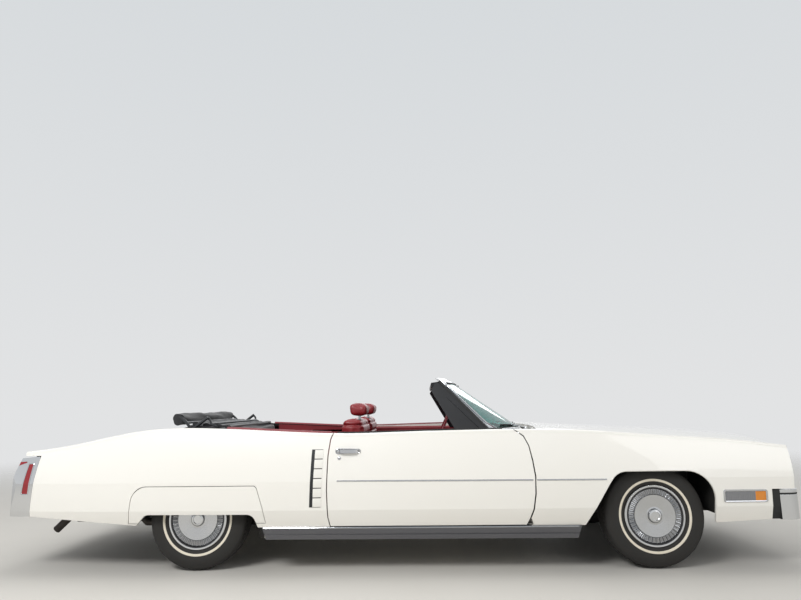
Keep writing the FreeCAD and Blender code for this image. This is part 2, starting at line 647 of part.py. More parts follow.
# Headlamp panels and lamps, two a side
LAMP_R = 73.0
LAMP_Z = 668.0
LAMP_YS = (HALF_WIDTH - 363.0, HALF_WIDTH - 185.0)
BEZEL_X = NOSE_X - 22.0
BEZEL_THICK = 20.0
bezel = front_prism([
    (GRILLE_HALF + SEAT_GAP, 545.0), (HALF_WIDTH - 40.0, 545.0), (HALF_WIDTH - 40.0, 800.0),
    (GRILLE_HALF + SEAT_GAP, 800.0),
], BEZEL_X, BEZEL_X + BEZEL_THICK)
nest = Part.makeCylinder(LAMP_R + 14.0, 14.0, V(BEZEL_X + BEZEL_THICK, 0, LAMP_Z), V(1, 0, 0))
for lamp_y in LAMP_YS:
    lamp_ring = nest.copy()
    lamp_ring.translate(V(0, lamp_y, 0))
    bezel = bezel.fuse(lamp_ring)
for lamp_y in LAMP_YS:
    bezel = bezel.cut(
        rod((BEZEL_X - 5.0, lamp_y, LAMP_Z), (BEZEL_X + 60.0, lamp_y, LAMP_Z), LAMP_R + SEAT_GAP)
    )
bezel = bezel.common(ROOM)
save("lamp_panels", group(pair(bezel)))
lamps = []
for lamp_y in LAMP_YS:
    bowl = rod((BEZEL_X - 50.0, lamp_y, LAMP_Z), (BEZEL_X + BEZEL_THICK + 2.0, lamp_y, LAMP_Z), LAMP_R)
    dome_r = 170.0
    dome = Part.makeSphere(dome_r, V(BEZEL_X + BEZEL_THICK + 16.0 - dome_r, lamp_y, LAMP_Z))
    lens = dome.common(rod((BEZEL_X, lamp_y, LAMP_Z), (BEZEL_X + 80.0, lamp_y, LAMP_Z), LAMP_R))
    lamps.append(bowl.fuse(lens))
save("headlamps", group(lamps + [flip(lamp) for lamp in lamps]))

# Rear bumper: end caps that rise round the tail lamps, and a bar between them
CAP_INNER_Y = HALF_WIDTH - 207.0
CAP_SWEEP = 60.0
CAP_CORNER_IN = 73.0
cap_plan = plan_prism([
    (-HALF_LENGTH - 1.0, CAP_INNER_Y - 20.0), (-HALF_LENGTH - 1.0, CAP_INNER_Y + 12.0, 60.0),
    (-HALF_LENGTH + CAP_SWEEP, HALF_WIDTH - CAP_CORNER_IN, 30.0), (TAIL_X + 200.0, HALF_WIDTH + 20.0),
    (TAIL_X + 200.0, CAP_INNER_Y - 20.0),
], 300.0, 900.0)
cap_form = OUTER.common(side_prism(TAIL_CAP, CAP_INNER_Y, BESIDE)).common(cap_plan)
REAR_BAR_Z1 = 520.0
rear_bar = side_prism([
    (-HALF_LENGTH + 4.0, 430.0, 12.0), (-HALF_LENGTH + 26.0, 383.0, 12.0), (TAIL_X - 22.0, 383.0),
    (TAIL_X - 22.0, REAR_BAR_Z1, 6.0), (-HALF_LENGTH + 24.0, REAR_BAR_Z1, 12.0),
], -CAP_INNER_Y - 1.0, CAP_INNER_Y + 1.0)
LENS_IN = 26.0
LENS_OUT = 88.0
lens_side = [
    (TAIL_X - 60.0, 760.0, 8.0), (TAIL_X + 30.0, 764.0, 8.0), (TAIL_X + 8.0, 545.0, 8.0),
    (TAIL_X - 100.0, 545.0, 8.0),
]
lens_room = side_prism(lens_side, CAP_INNER_Y + LENS_IN, HALF_WIDTH - LENS_OUT)
SIDE_LENS = [
    (TAIL_X + 85.0, 747.0, 8.0), (TAIL_X + 49.0, 747.0, 8.0), (TAIL_X + 23.0, 540.0, 8.0),
    (TAIL_X + 71.0, 540.0, 8.0),
]
side_lens_room = SHELL.common(side_prism(SIDE_LENS, CAP_INNER_Y, BESIDE))
cap_half = cap_form.cut(lens_room).cut(side_lens_room)
rear_bumper = join([rear_bar, cap_half, flip(cap_half)])
REAR_HOLE_Z = 470.0
for hole_y in (-PLATE_HOLE_Y, PLATE_HOLE_Y):
    rear_bumper = rear_bumper.cut(
        rod(
            (-HALF_LENGTH - 20.0, hole_y, REAR_HOLE_Z), (-HALF_LENGTH + 60.0, hole_y, REAR_HOLE_Z),
            PLATE_HOLE_R
        )
    )
save("rear_bumper", rear_bumper)
lens_form = cap_form.common(side_prism(
    grown(lens_side, -SEAT_GAP), CAP_INNER_Y + LENS_IN + SEAT_GAP, HALF_WIDTH - LENS_OUT - SEAT_GAP))
side_lens = OUTER.cut(half_form(SKIN - 2.0, OPEN_BELOW))
side_lens = side_lens.common(side_prism(grown(SIDE_LENS, -SEAT_GAP), CAP_INNER_Y, BESIDE))
save("tail_lamps", group(pair(lens_form) + pair(side_lens)))

# Bright rocker trim under the doors
ROCKER_BACK = -941.0
ROCKER_FRONT = FRONT_AXLE - 518.0
rocker = side_prism([
    (ROCKER_BACK + 30.0, 222.0), (ROCKER_FRONT - 30.0, 222.0), (ROCKER_FRONT, SILL_Z - 1.0),
    (ROCKER_BACK, SILL_Z - 1.0),
], HALF_WIDTH - 80.0, HALF_WIDTH - 42.0)
rocker = rocker.cut(side_prism([
    (ROCKER_BACK - 40.0, 252.0), (ROCKER_FRONT + 40.0, 252.0), (ROCKER_FRONT + 40.0, 262.0),
    (ROCKER_BACK - 40.0, 262.0),
], HALF_WIDTH - 50.0, HALF_WIDTH))
save("rocker_trim", group(pair(rocker)))

# Windshield, swept round at the sides
GLASS = 6.0
SCREEN_FRAME = 24.0
ScreenArc = namedtuple("ScreenArc", "z mid_x side_x half")
COWL_Z = 912.0
COWL_THICK = 14.0
SCREEN_LOW = ScreenArc(COWL_Z + SEAT_GAP, 1050.0, 722.0, HALF_WIDTH - 248.0)
SCREEN_TOP = ScreenArc(1334.0, 432.0, 318.0, HALF_WIDTH - 409.0)


def screen_wire(arc, front, thick):
    sag = arc.mid_x - arc.side_x
    radius = (arc.half ** 2 + sag ** 2) / (2 * sag)
    centre = arc.mid_x - radius
    angle = math.atan2(arc.half, arc.side_x - centre)
    rings = []
    for r in (radius + front, radius + front - thick):
        ring = []
        for share in (-1.0, 0.0, 1.0):
            ring.append(V(centre + r * math.cos(angle * share), r * math.sin(angle * share), arc.z))
        rings.append(ring)
    a, b = rings
    return Part.Wire([
        Part.Arc(a[0], a[1], a[2]).toShape(), Part.makeLine(a[2], b[2]),
        Part.Arc(b[2], b[1], b[0]).toShape(), Part.makeLine(b[0], a[0]),
    ])


def screen(front, thick):
    return Part.makeLoft(
        [screen_wire(SCREEN_LOW, front, thick), screen_wire(SCREEN_TOP, front, thick)], True, True
    )


WINDOW = [
    (-716.0, 952.0, 40.0), (716.0, 952.0, 40.0), (566.0, 1292.0, 55.0), (-566.0, 1292.0, 55.0),
]
sight = front_prism(WINDOW, 200.0, 1200.0)
glass_room = front_prism(grown(WINDOW, 16.0), 200.0, 1200.0)
glass_outer = screen(-5.0, GLASS)
screen_frame = screen(0.0, SCREEN_FRAME).cut(sight)
glass = glass_outer.common(glass_room)
glass_slot = screen(-5.0 + SEAT_GAP, GLASS + 2 * SEAT_GAP).common(
    front_prism(grown(WINDOW, 16.5), 200.0, 1200.0)
)
screen_frame = screen_frame.cut(glass_slot)
save("windshield_frame", screen_frame)
save("windshield_glass", glass)

# Dark inner pillars and header behind the glass
PILLAR_IN = 46.0
pillar_side = [
    (455.0, COWL_Z + SEAT_GAP), (715.0, COWL_Z + SEAT_GAP), (322.0, 1300.0, 12.0), (296.0, 1296.0, 12.0),
    (262.0, 1240.0, 12.0),
]
lean = (SCREEN_LOW.half - SCREEN_TOP.half) / (SCREEN_TOP.z - SCREEN_LOW.z)
pillar = side_prism(pillar_side, 400.0, 900.0)
slab = front_prism([
    (SCREEN_LOW.half - 8.0, COWL_Z), (SCREEN_LOW.half - 8.0 - PILLAR_IN, COWL_Z),
    (SCREEN_LOW.half - 8.0 - PILLAR_IN - lean * 390.0, 1310.0),
    (SCREEN_LOW.half - 8.0 - lean * 390.0, 1310.0),
], 200.0, 800.0)
screen_clear = screen(40.0, SCREEN_FRAME + 40.0 + SEAT_GAP)
pillar = pillar.common(slab).cut(screen_clear)
header = side_prism([
    (262.0, 1262.0, 10.0), (262.0, 1300.0, 10.0), (440.0, 1322.0), (440.0, 1284.0),
], -SCREEN_TOP.half + 30.0, SCREEN_TOP.half - 30.0).cut(screen_clear)
header = header.common(
    plan_prism(
        [
            (262.0, -620.0), (330.0, -560.0), (425.0, -300.0), (450.0, 0.0), (425.0, 300.0),
            (330.0, 560.0), (262.0, 620.0),
        ],
        1200.0, 1400.0
    )
)
save("screen_pillars", join([pillar, flip(pillar), header]))

# Cowl in front of the windshield and the dashboard behind it
cowl = plan_prism([
    (640.0, -HOOD_EDGE_Y), (1016.0, -HOOD_EDGE_Y), (HOOD_BACK_MID - 34.0, -380.0),
    (HOOD_BACK_MID - 16.0, 0.0),
    (HOOD_BACK_MID - 34.0, 380.0), (1016.0, HOOD_EDGE_Y), (640.0, HOOD_EDGE_Y),
], COWL_Z - COWL_THICK, COWL_Z)
low_sag = SCREEN_LOW.mid_x - SCREEN_LOW.side_x
low_radius = (SCREEN_LOW.half ** 2 + low_sag ** 2) / (2 * low_sag)
behind_screen = Part.makeCylinder(low_radius - 60.0, 400.0, V(SCREEN_LOW.mid_x - low_radius, 0, 700.0))
cowl = cowl.cut(behind_screen)
save("cowl_panel", cowl)
DASH_HALF = HALF_WIDTH - 231.0
DASH_SQUARE_X = 655.0
dash = side_prism([
    (655.0, 640.0, 30.0), (560.0, 800.0, 30.0), (560.0, 905.0, 35.0), (700.0, 924.0), (980.0, 924.0),
    (980.0, 640.0),
], -DASH_HALF, DASH_HALF)
dash = dash.common(
    Part.makeCylinder(
        low_radius - 64.0, 500.0, V(SCREEN_LOW.mid_x - low_radius, 0, 500.0)
    ).fuse(box(500.0, DASH_SQUARE_X, -800.0, 800.0, 500.0, 1000.0))
)
for side in (1.0, -1.0):
    foot_y = side * (SCREEN_LOW.half - 8.0 - PILLAR_IN / 2)
    foot_half = PILLAR_IN / 2 + MOVE_GAP
    dash = dash.cut(box(440.0, 730.0, foot_y - foot_half, foot_y + foot_half, COWL_Z - 8.0, 980.0))
hood_y = 400.0
binnacle = side_prism([
    (540.0, 850.0, 12.0), (548.0, 935.0, 18.0), (700.0, 935.0), (700.0, 850.0),
], hood_y - 230.0, hood_y + 230.0)
COLUMN_TILT = 24.0
WHEEL_X = 345.0
WHEEL_Z = 855.0
tilt = math.radians(COLUMN_TILT)
column_dir = V(math.cos(tilt), 0, -math.sin(tilt))


def on_column(distance):
    return (WHEEL_X + column_dir.x * distance, hood_y, WHEEL_Z + column_dir.z * distance)


column = rod(on_column(40.0), on_column(420.0), 38.0)
shaft = rod(on_column(-12.0), on_column(60.0), 11.0)
FIREWALL_X = 984.0
beam_box = box(690.0, FIREWALL_X - SEAT_GAP, -480.0, 480.0, 720.0, COWL_Z - COWL_THICK - SEAT_GAP)
dashboard = join([dash, binnacle, column, shaft, beam_box])
save("dashboard", dashboard)

# Steering wheel
RIM_HALF = 196.0
RIM_TUBE = 11.0
ring = Part.makeTorus(RIM_HALF, RIM_TUBE, V(WHEEL_X, hood_y, WHEEL_Z), column_dir)
hub = rod(on_column(-22.0), on_column(30.0), 42.0)
hub = hub.cut(rod(on_column(-14.0), on_column(70.0), 11.0 + RUN))
across = V(0, 1, 0)
down = V(-math.sin(tilt), 0, -math.cos(tilt))
spokes = []
for direction in (across, across * -1, down):
    tip = V(WHEEL_X, hood_y, WHEEL_Z) + direction * (RIM_HALF - 2.0)
    spokes.append(rod((WHEEL_X, hood_y, WHEEL_Z), (tip.x, tip.y, tip.z), 9.0))
wheel_core = rod(on_column(-14.0), on_column(70.0), 11.0 + RUN)
steering_wheel = join([ring, hub] + spokes).cut(wheel_core)
save("steering_wheel", steering_wheel)

# Floor of the cabin, step over the rear axle, boot floor
FLOOR_THICK = 16.0
FLOOR_Z = 292.0
FLOOR_HALF = HALF_WIDTH - 227.3
KICK_X = -960.0
KICK_Z = 505.0
BOOT_X = -1900.0
BOOT_Z = 430.0
BOOT_BACK = TAIL_X + 8.0
WELL_FLOOR_HALF = HALF_WIDTH - 373.0
front_floor = side_prism([
    (KICK_X, FLOOR_Z - FLOOR_THICK), (880.0, FLOOR_Z - FLOOR_THICK), (FIREWALL_X + FLOOR_THICK, 420.0),
    (FIREWALL_X + FLOOR_THICK, COWL_Z - COWL_THICK - SEAT_GAP), (FIREWALL_X, COWL_Z - COWL_THICK - SEAT_GAP),
    (FIREWALL_X, 430.0), (868.0, FLOOR_Z), (KICK_X, FLOOR_Z),
], -FLOOR_HALF, FLOOR_HALF)
rear_floor = side_prism([
    (KICK_X + FLOOR_THICK, FLOOR_Z - FLOOR_THICK), (KICK_X + FLOOR_THICK, KICK_Z), (BOOT_X, KICK_Z),
    (BOOT_X, BOOT_Z), (BOOT_BACK, BOOT_Z), (BOOT_BACK, BOOT_Z - FLOOR_THICK),
    (BOOT_X + FLOOR_THICK, BOOT_Z - FLOOR_THICK), (BOOT_X + FLOOR_THICK, KICK_Z - FLOOR_THICK),
    (KICK_X, KICK_Z - FLOOR_THICK),
    (KICK_X, FLOOR_Z - FLOOR_THICK),
], -WELL_FLOOR_HALF, WELL_FLOOR_HALF)
SILL_IN = HALF_WIDTH - 213.0
SILL_TOP = 336.0
SILL_OUT = HALF_WIDTH - 80.0
sill = box(-930.0, 1060.0, FLOOR_HALF - 4.0, SILL_OUT, 226.0, SILL_TOP)
sill = sill.cut(box(-480.0, 970.0, SILL_OUT - 30.0, SILL_OUT + 1.0, SILL_TOP - 22.0, SILL_TOP + 10.0))
ARM_SLOT_HALF = ARM_HALF + MOVE_GAP
arm_slots = []
for side in (1.0, -1.0):
    slot_y = side * HOOD_ARM_Y
    arm_slots.append(box(
        FIREWALL_X - 20.0, FIREWALL_X + 60.0, slot_y - ARM_SLOT_HALF, slot_y + ARM_SLOT_HALF,
        HOOD_HINGE_Z - 54.0, 960.0))
    foot_y = side * (HOOD_ARM_Y + 19.0)
    arm_slots.append(box(
        FIREWALL_X - 20.0, FIREWALL_X + FLOOR_THICK, foot_y - 8.0, foot_y + 8.0,
        HOOD_HINGE_Z - 71.0, HOOD_HINGE_Z - 47.0))
firewall_slots = Part.makeCompound(arm_slots)
save("floor", join([front_floor, rear_floor, sill, flip(sill)]).cut(firewall_slots))

# Inner structure: wheelhouses, door posts, radiator support, top well and boot walls
STEEL = 12.0
HOUSE_IN = HALF_WIDTH - 533.0
HOUSE_TOP = 742.0
HOUSE_BACK = FRONT_AXLE - 452.0
HOUSE_FRONT = FRONT_AXLE + 424.0
house = [
    box(HOUSE_BACK, HOUSE_FRONT + STEEL, HOUSE_IN - STEEL, HOUSE_IN, 402.0, HOUSE_TOP + STEEL),
    box(HOUSE_BACK, HOUSE_FRONT + STEEL, HOUSE_IN - STEEL, BESIDE, HOUSE_TOP, HOUSE_TOP + STEEL),
    box(HOUSE_BACK - STEEL, HOUSE_BACK, HOUSE_IN - STEEL, BESIDE, 360.0, HOUSE_TOP + STEEL),
    box(HOUSE_FRONT, HOUSE_FRONT + STEEL, HOUSE_IN - STEEL, BESIDE, 360.0, HOUSE_TOP + STEEL),
    box(1000.0, HOUSE_BACK, HOUSE_IN - STEEL, HOUSE_IN, 402.0, HOUSE_TOP + STEEL),
    box(2430.0, 2450.0, -1.0, 640.0, 402.0, 800.0).cut(box(2400.0, 2500.0, -2.0, 400.0, 440.0, 760.0)),
    box(HOUSE_FRONT, 2450.0, HOUSE_IN - STEEL, HOUSE_IN, 402.0, HOUSE_TOP + STEEL),
    box(2438.0, BEZEL_X, 540.0, 556.0, 540.0, 800.0),
    box(2650.0, front_bar_x - BAR_THICK - SEAT_GAP, 400.0, 460.0, 400.4, 470.0),
    box(2438.0, 2700.0, 400.0, 470.0, 400.4, 440.0),
]
front_inner = join(house).common(ROOM.fuse(box(900.0, AHEAD, -2.0, 600.0, 200.0, 800.0)))
POST_BACK = 992.0
POST_FRONT = 1062.0
post_z0 = SILL_TOP + SEAT_GAP
post = box(POST_BACK, POST_FRONT, SILL_IN, SILL_OUT - 8.0, post_z0, 880.0)
kick_wall = box(900.0, POST_FRONT, FLOOR_HALF + SEAT_GAP, SILL_IN + 1.0, post_z0, 880.0)
hinge_plate = box(1000.0, 1012.0, HOUSE_IN - STEEL, SILL_IN + 1.0, 425.0, 880.0)
leafs = []
for hinge_z in HINGE_ZS:
    low = hinge_z - BARREL_TALL
    leaf = box(HINGE_X - 8.0, HINGE_X + 8.0, HINGE_Y - 92.0, HINGE_Y, low, hinge_z)
    leaf = leaf.fuse(box(HINGE_X - 8.0, POST_BACK + 5.0, HINGE_Y - 92.0, HINGE_Y - 74.0, low, hinge_z))
    leaf = leaf.fuse(Part.makeCylinder(BARREL_R, BARREL_TALL, V(HINGE_X, HINGE_Y, low)))
    leaf = leaf.fuse(Part.makeCylinder(HINGE_PIN_R, BARREL_TALL * 2, V(HINGE_X, HINGE_Y, low)))
    leafs.append(leaf)
STAND_HALF = 14.0
STAND_Y0 = HOOD_ARM_Y + ARM_HALF + 4.0
STAND_Y1 = STAND_Y0 + 14.0
PIN_OUT = 4.0
hinge_stand = box(
    HOOD_HINGE_X - STAND_HALF, HOOD_HINGE_X + STAND_HALF, STAND_Y0, STAND_Y1,
    HOOD_HINGE_Z - 70.0, HOOD_HINGE_Z + STAND_HALF)
hinge_foot = box(
    HOOD_HINGE_X - STAND_HALF, 1004.0, STAND_Y0, STAND_Y1, HOOD_HINGE_Z - 70.0, HOOD_HINGE_Z - 48.0
)
hinge_pin = rod(
    (HOOD_HINGE_X, HOOD_ARM_Y - ARM_HALF - PIN_OUT, HOOD_HINGE_Z),
    (HOOD_HINGE_X, STAND_Y0 + 2.0, HOOD_HINGE_Z), HINGE_PIN)
hinge_plate = hinge_plate.cut(arm_slots[0])
front_half = join([front_inner, post, kick_wall, hinge_plate, hinge_stand, hinge_foot, hinge_pin] + leafs)
save("front_structure", join([front_half, flip(front_half)]))

REAR_HOUSE_IN = HALF_WIDTH - 361.0
REAR_HOUSE_TOP = 764.0
REAR_HOUSE_LONG = 430.0
WELL_FRONT = -1228.0
rear_house = [
    box(
        REAR_AXLE - REAR_HOUSE_LONG, REAR_AXLE + REAR_HOUSE_LONG, REAR_HOUSE_IN - STEEL, REAR_HOUSE_IN,
        KICK_Z - 30.0, REAR_HOUSE_TOP
    ),
    box(
        REAR_AXLE - REAR_HOUSE_LONG, REAR_AXLE + REAR_HOUSE_LONG, REAR_HOUSE_IN - STEEL, BESIDE,
        REAR_HOUSE_TOP - STEEL, REAR_HOUSE_TOP
    ),
    box(
        REAR_AXLE - REAR_HOUSE_LONG - STEEL, REAR_AXLE - REAR_HOUSE_LONG, REAR_HOUSE_IN - STEEL, BESIDE,
        340.0, REAR_HOUSE_TOP
    ),
    box(
        REAR_AXLE + REAR_HOUSE_LONG, REAR_AXLE + REAR_HOUSE_LONG + STEEL, REAR_HOUSE_IN - STEEL, BESIDE,
        340.0, REAR_HOUSE_TOP
    ),
    box(
        TAIL_X + 8.0, REAR_AXLE - REAR_HOUSE_LONG, REAR_HOUSE_IN - STEEL, REAR_HOUSE_IN,
        BOOT_Z - FLOOR_THICK, 660.0
    ),
    box(
        REAR_AXLE + REAR_HOUSE_LONG, -905.0, REAR_HOUSE_IN - STEEL, SILL_IN + 20.0, SILL_TOP + SEAT_GAP,
        KICK_Z
    ),
    box(
        WELL_BACK - 18.0, WELL_FRONT, -1.0, REAR_HOUSE_IN - STEEL + 1.0, REAR_HOUSE_TOP - STEEL,
        REAR_HOUSE_TOP
    ),
]
rear_inner = join(rear_house).common(ROOM.fuse(box(-AHEAD, -300.0, 0.0, 700.0, 200.0, 700.0)))
skirt_rim = side_prism(grown(SKIRT_OUTLINE, SKIRT_LAP + SEAT_GAP), 600.0, BESIDE)
rear_inner = rear_inner.cut(skirt_rim.cut(half_form(SKIN + SKIRT_LIP + 2 * SEAT_GAP, OPEN_BELOW)))
lock_post = box(-575.0, -505.0, SILL_IN + SEAT_GAP, SILL_OUT - 8.0, post_z0, 880.0)
lid_stand = box(
    LID_HINGE_X - STAND_HALF, LID_HINGE_X + STAND_HALF, STAND_Y0, STAND_Y1,
    KICK_Z + 20.0, LID_HINGE_Z + STAND_HALF)
lid_pin = rod(
    (LID_HINGE_X, HOOD_ARM_Y - ARM_HALF - PIN_OUT, LID_HINGE_Z),
    (LID_HINGE_X, STAND_Y0 + 2.0, LID_HINGE_Z), HINGE_PIN)
well_wall = box(
    WELL_BACK - 30.0, WELL_BACK - 18.0, -1.0, REAR_HOUSE_IN - STEEL + 1.0, KICK_Z + SEAT_GAP, 800.0
)
well_lip = box(
    WELL_BACK - 30.0, WELL_BACK - 18.0, -1.0, HOOD_ARM_Y - 20.0, 790.0, hood_top_at(WELL_BACK) - 40.0
)
rear_half = join([rear_inner, lid_stand, lid_pin, well_wall, well_lip])
rear_half = rear_half.cut(side_prism(grown(TAIL_PANEL, SEAT_GAP), -TAIL_HALF, TAIL_HALF))
save("rear_structure", group([join([rear_half, flip(rear_half)]), lock_post, flip(lock_post)]))

# Perimeter frame under the floor
RAIL_Y0 = HALF_WIDTH - 323.0
RAIL_Y1 = HALF_WIDTH - 253.0
RAIL_Z0 = 196.0
RAIL_Z1 = FLOOR_Z - FLOOR_THICK
FRONT_RAIL_Y0 = HALF_WIDTH - 615.0
FRONT_RAIL_Y1 = HALF_WIDTH - 547.0
REAR_RAIL_Y0 = HALF_WIDTH - 513.0
REAR_RAIL_Y1 = HALF_WIDTH - 447.0
rails = [
    box(-1010.0, 1180.0, RAIL_Y0, RAIL_Y1, RAIL_Z0, RAIL_Z1),
    box(1110.0, 1180.0, FRONT_RAIL_Y0, RAIL_Y1, RAIL_Z0, RAIL_Z1),
    side_prism(
        [
            (1110.0, RAIL_Z0), (1180.0, RAIL_Z0), (1300.0, 310.0), (FRONT_AXLE - 130.0, 310.0),
            (FRONT_AXLE - 90.0, 392.0), (FRONT_AXLE + 90.0, 392.0), (FRONT_AXLE + 130.0, 310.0),
            (2660.0, 310.0), (2660.0, 400.0), (FRONT_AXLE + 190.0, 400.0), (FRONT_AXLE + 150.0, 460.0),
            (FRONT_AXLE - 150.0, 460.0), (FRONT_AXLE - 190.0, 400.0), (1230.0, 400.0), (1110.0, RAIL_Z1),
        ],
        FRONT_RAIL_Y0, FRONT_RAIL_Y1
    ),
    box(-1010.0, -945.0, REAR_RAIL_Y0, RAIL_Y1, RAIL_Z0, RAIL_Z1),
    side_prism(
        [
            (-945.0, RAIL_Z0), (-1030.0, RAIL_Z0), (-1110.0, 410.0), (-1730.0, 410.0), (-1800.0, 330.0),
            (-2640.0, 330.0), (-2640.0, BOOT_Z - FLOOR_THICK), (-1850.0, BOOT_Z - FLOOR_THICK),
            (-1770.0, KICK_Z - FLOOR_THICK), (-1060.0, KICK_Z - FLOOR_THICK), (-975.0, RAIL_Z1),
            (-945.0, RAIL_Z1),
        ],
        REAR_RAIL_Y0, REAR_RAIL_Y1
    ),
    box(2560.0, 2630.0, -1.0, FRONT_RAIL_Y1, 320.0, 390.0),
    box(FRONT_AXLE - 190.0, FRONT_AXLE - 120.0, -1.0, FRONT_RAIL_Y1, 250.0, 314.0),
    box(FRONT_AXLE + 120.0, FRONT_AXLE + 190.0, -1.0, FRONT_RAIL_Y1, 250.0, 314.0),
    box(-2640.0, -2580.0, -1.0, REAR_RAIL_Y1, 340.0, 400.0),
    box(-560.0, -480.0, -1.0, RAIL_Y1, 246.0, RAIL_Z1),
    box(TAIL_X - 21.7, -2600.0, REAR_RAIL_Y0, REAR_RAIL_Y1, 345.0, 399.6),
]
frame_half = join(rails)
save("frame", join([frame_half, flip(frame_half)]))

# Seats
Seat = namedtuple("Seat", "y0 y1")
SEAT_OUT = HALF_WIDTH - 313.0
FRONT_SEATS = [Seat(60.0, SEAT_OUT), Seat(-SEAT_OUT, -60.0)]
seats = []
for seat in FRONT_SEATS:
    base = side_prism([
        (-330.0, FLOOR_Z), (150.0, FLOOR_Z), (210.0, 560.0, 60.0), (-300.0, 520.0),
    ], seat.y0, seat.y1)
    back = side_prism([
        (-330.0, 420.0), (-200.0, 480.0), (-262.0, 1046.0, 40.0), (-430.0, 1046.0, 50.0),
        (-420.0, 500.0, 40.0),
    ], seat.y0, seat.y1)
    middle = (seat.y0 + seat.y1) / 2
    rest = side_prism([
        (-250.0, 1056.0, 30.0), (-240.0, 1140.0, 40.0), (-390.0, 1150.0, 40.0), (-380.0, 1056.0, 30.0),
    ], middle - 145.0, middle + 145.0)
    stalk = box(-325.0, -305.0, middle - 60.0, middle + 60.0, 1040.0, 1062.0)
    seats.append(join([base, back, rest, stalk]))
save("front_seats", group(seats))
REAR_HALF = HALF_WIDTH - 373.0
rear_base = side_prism([
    (-940.0, FLOOR_Z), (-640.0, FLOOR_Z), (-600.0, 545.0, 60.0), (-1040.0, 520.0), (-1040.0, KICK_Z),
    (-940.0, KICK_Z),
], -REAR_HALF + 20.0, REAR_HALF - 20.0)
rear_back = side_prism([
    (-1130.0, KICK_Z), (-1030.0, KICK_Z), (-1130.0, 935.0, 40.0), (-1215.0, 935.0, 30.0),
], -REAR_HALF + 2.0, REAR_HALF - 2.0)
side_pad = side_prism([
    (-510.0, SILL_TOP + SEAT_GAP), (-510.0, 903.0, 20.0), (-900.0, 903.0), (-900.0, SILL_TOP + SEAT_GAP),
], SILL_IN - 38.0, SILL_IN)
side_pad_back = box(-1215.0, -930.0, REAR_HALF + 20.0, SILL_IN - 80.0, REAR_HOUSE_TOP + SEAT_GAP, 900.0)
save(
    "rear_seat",
    group([join([rear_base, rear_back]), side_pad, side_pad_back, flip(side_pad), flip(side_pad_back)])
)

# Folded soft top lying in its well, with its irons
TOP_HALF = HALF_WIDTH - 389.0
fold = side_prism([
    (-1262.0, REAR_HOUSE_TOP + SEAT_GAP, 30.0), (-1240.0, 965.0, 40.0), (-1430.0, 1000.0, 60.0),
    (-1600.0, 1010.0, 40.0),
    (-1690.0, 1095.0, 30.0), (-1740.0, 1070.0, 30.0), (-1725.0, REAR_HOUSE_TOP + SEAT_GAP, 40.0),
], -TOP_HALF, TOP_HALF)
save("folded_top", fold)
IRON_R = 12.0
iron_y = TOP_HALF + 16.0
irons = [
    rod((-1270.0, iron_y, 880.0), (-1600.0, iron_y, 960.0), IRON_R),
    rod((-1600.0, iron_y, 960.0), (-1470.0, iron_y, 1060.0), IRON_R),
    rod((-1290.0, iron_y, 880.0), (-1290.0, iron_y, REAR_HOUSE_TOP + SEAT_GAP), IRON_R),
    rod((-1600.0, TOP_HALF + SEAT_GAP, 960.0), (-1600.0, iron_y + 12.0, 960.0), IRON_R),
]
iron_set = join(irons)
save("top_irons", group(pair(iron_set)))

# Engine, transaxle and radiator
SHAFT_END = WHEEL_Y - 172.0
engine_parts = [
    box(1330.0, 2010.0, -120.0, 160.0, 320.0, 660.0),
    side_prism(
        [(1380.0, 560.0), (1980.0, 560.0), (1980.0, 700.0, 30.0), (1380.0, 700.0, 30.0)], 100.0, 300.0
    ),
    side_prism(
        [(1380.0, 560.0), (1980.0, 560.0), (1980.0, 700.0, 30.0), (1380.0, 700.0, 30.0)], -260.0, -60.0
    ),
    box(1250.0, 1700.0, 150.0, 380.0, 316.0, 500.0),
    Part.makeCylinder(200.0, 70.0, V(1660.0, 20.0, 700.0)),
    Part.makeCylinder(70.0, 60.0, V(1660.0, 20.0, 650.0)),
    rod((2000.0, 20.0, 560.0), (2060.0, 20.0, 560.0), 90.0),
    box(FRONT_AXLE - 170.0, FRONT_AXLE - 130.0, -60.0, 100.0, 314.3, 330.0),
    rod((FRONT_AXLE, 120.0, AXLE_Z + 8.0), (FRONT_AXLE, SHAFT_END, AXLE_Z), 17.0),
    rod((FRONT_AXLE, -90.0, AXLE_Z + 8.0), (FRONT_AXLE, -SHAFT_END, AXLE_Z), 17.0),
]
radiator = box(2395.0, 2429.7, -425.0, 425.0, 422.0, 778.0)
save("engine", group([join(engine_parts), radiator]))

# Exhaust, fuel tank, rear axle
PIPE_R = 28.0
MUFFLER_R = 52.0
MUFFLER_Y = 640.0
MUFFLER_Z = 345.0
MUFFLER_FRONT = -1950.0
MUFFLER_BACK = -2430.0
pipe_points = [
    (1560.0, -120.3, 470.0), (1550.0, -230.0, 450.0), (1400.0, -330.0, 260.0), (1240.0, -340.0, 208.0),
    (-975.0, -340.0, 208.0), (-1240.0, -420.0, 430.0), (-1500.0, -420.0, 430.0), (-1580.0, -440.0, 372.0),
    (-1700.0, -610.0, 372.0), (-1830.0, -MUFFLER_Y, 290.0), (-1900.0, -MUFFLER_Y, 290.0),
    (MUFFLER_FRONT - 5.0, -MUFFLER_Y, MUFFLER_Z),
]
pipes = []
for a, b in zip(pipe_points, pipe_points[1:]):
    pipes.append(rod(a, b, PIPE_R))
    pipes.append(Part.makeSphere(PIPE_R, V(*b)))
pipes.append(rod((MUFFLER_FRONT, -MUFFLER_Y, MUFFLER_Z), (MUFFLER_BACK, -MUFFLER_Y, MUFFLER_Z), MUFFLER_R))
tail_pipe = [
    (MUFFLER_BACK + 5.0, -MUFFLER_Y, MUFFLER_Z), (-2500.0, -MUFFLER_Y, 332.0), (-2600.0, -MUFFLER_Y, 236.0),
]
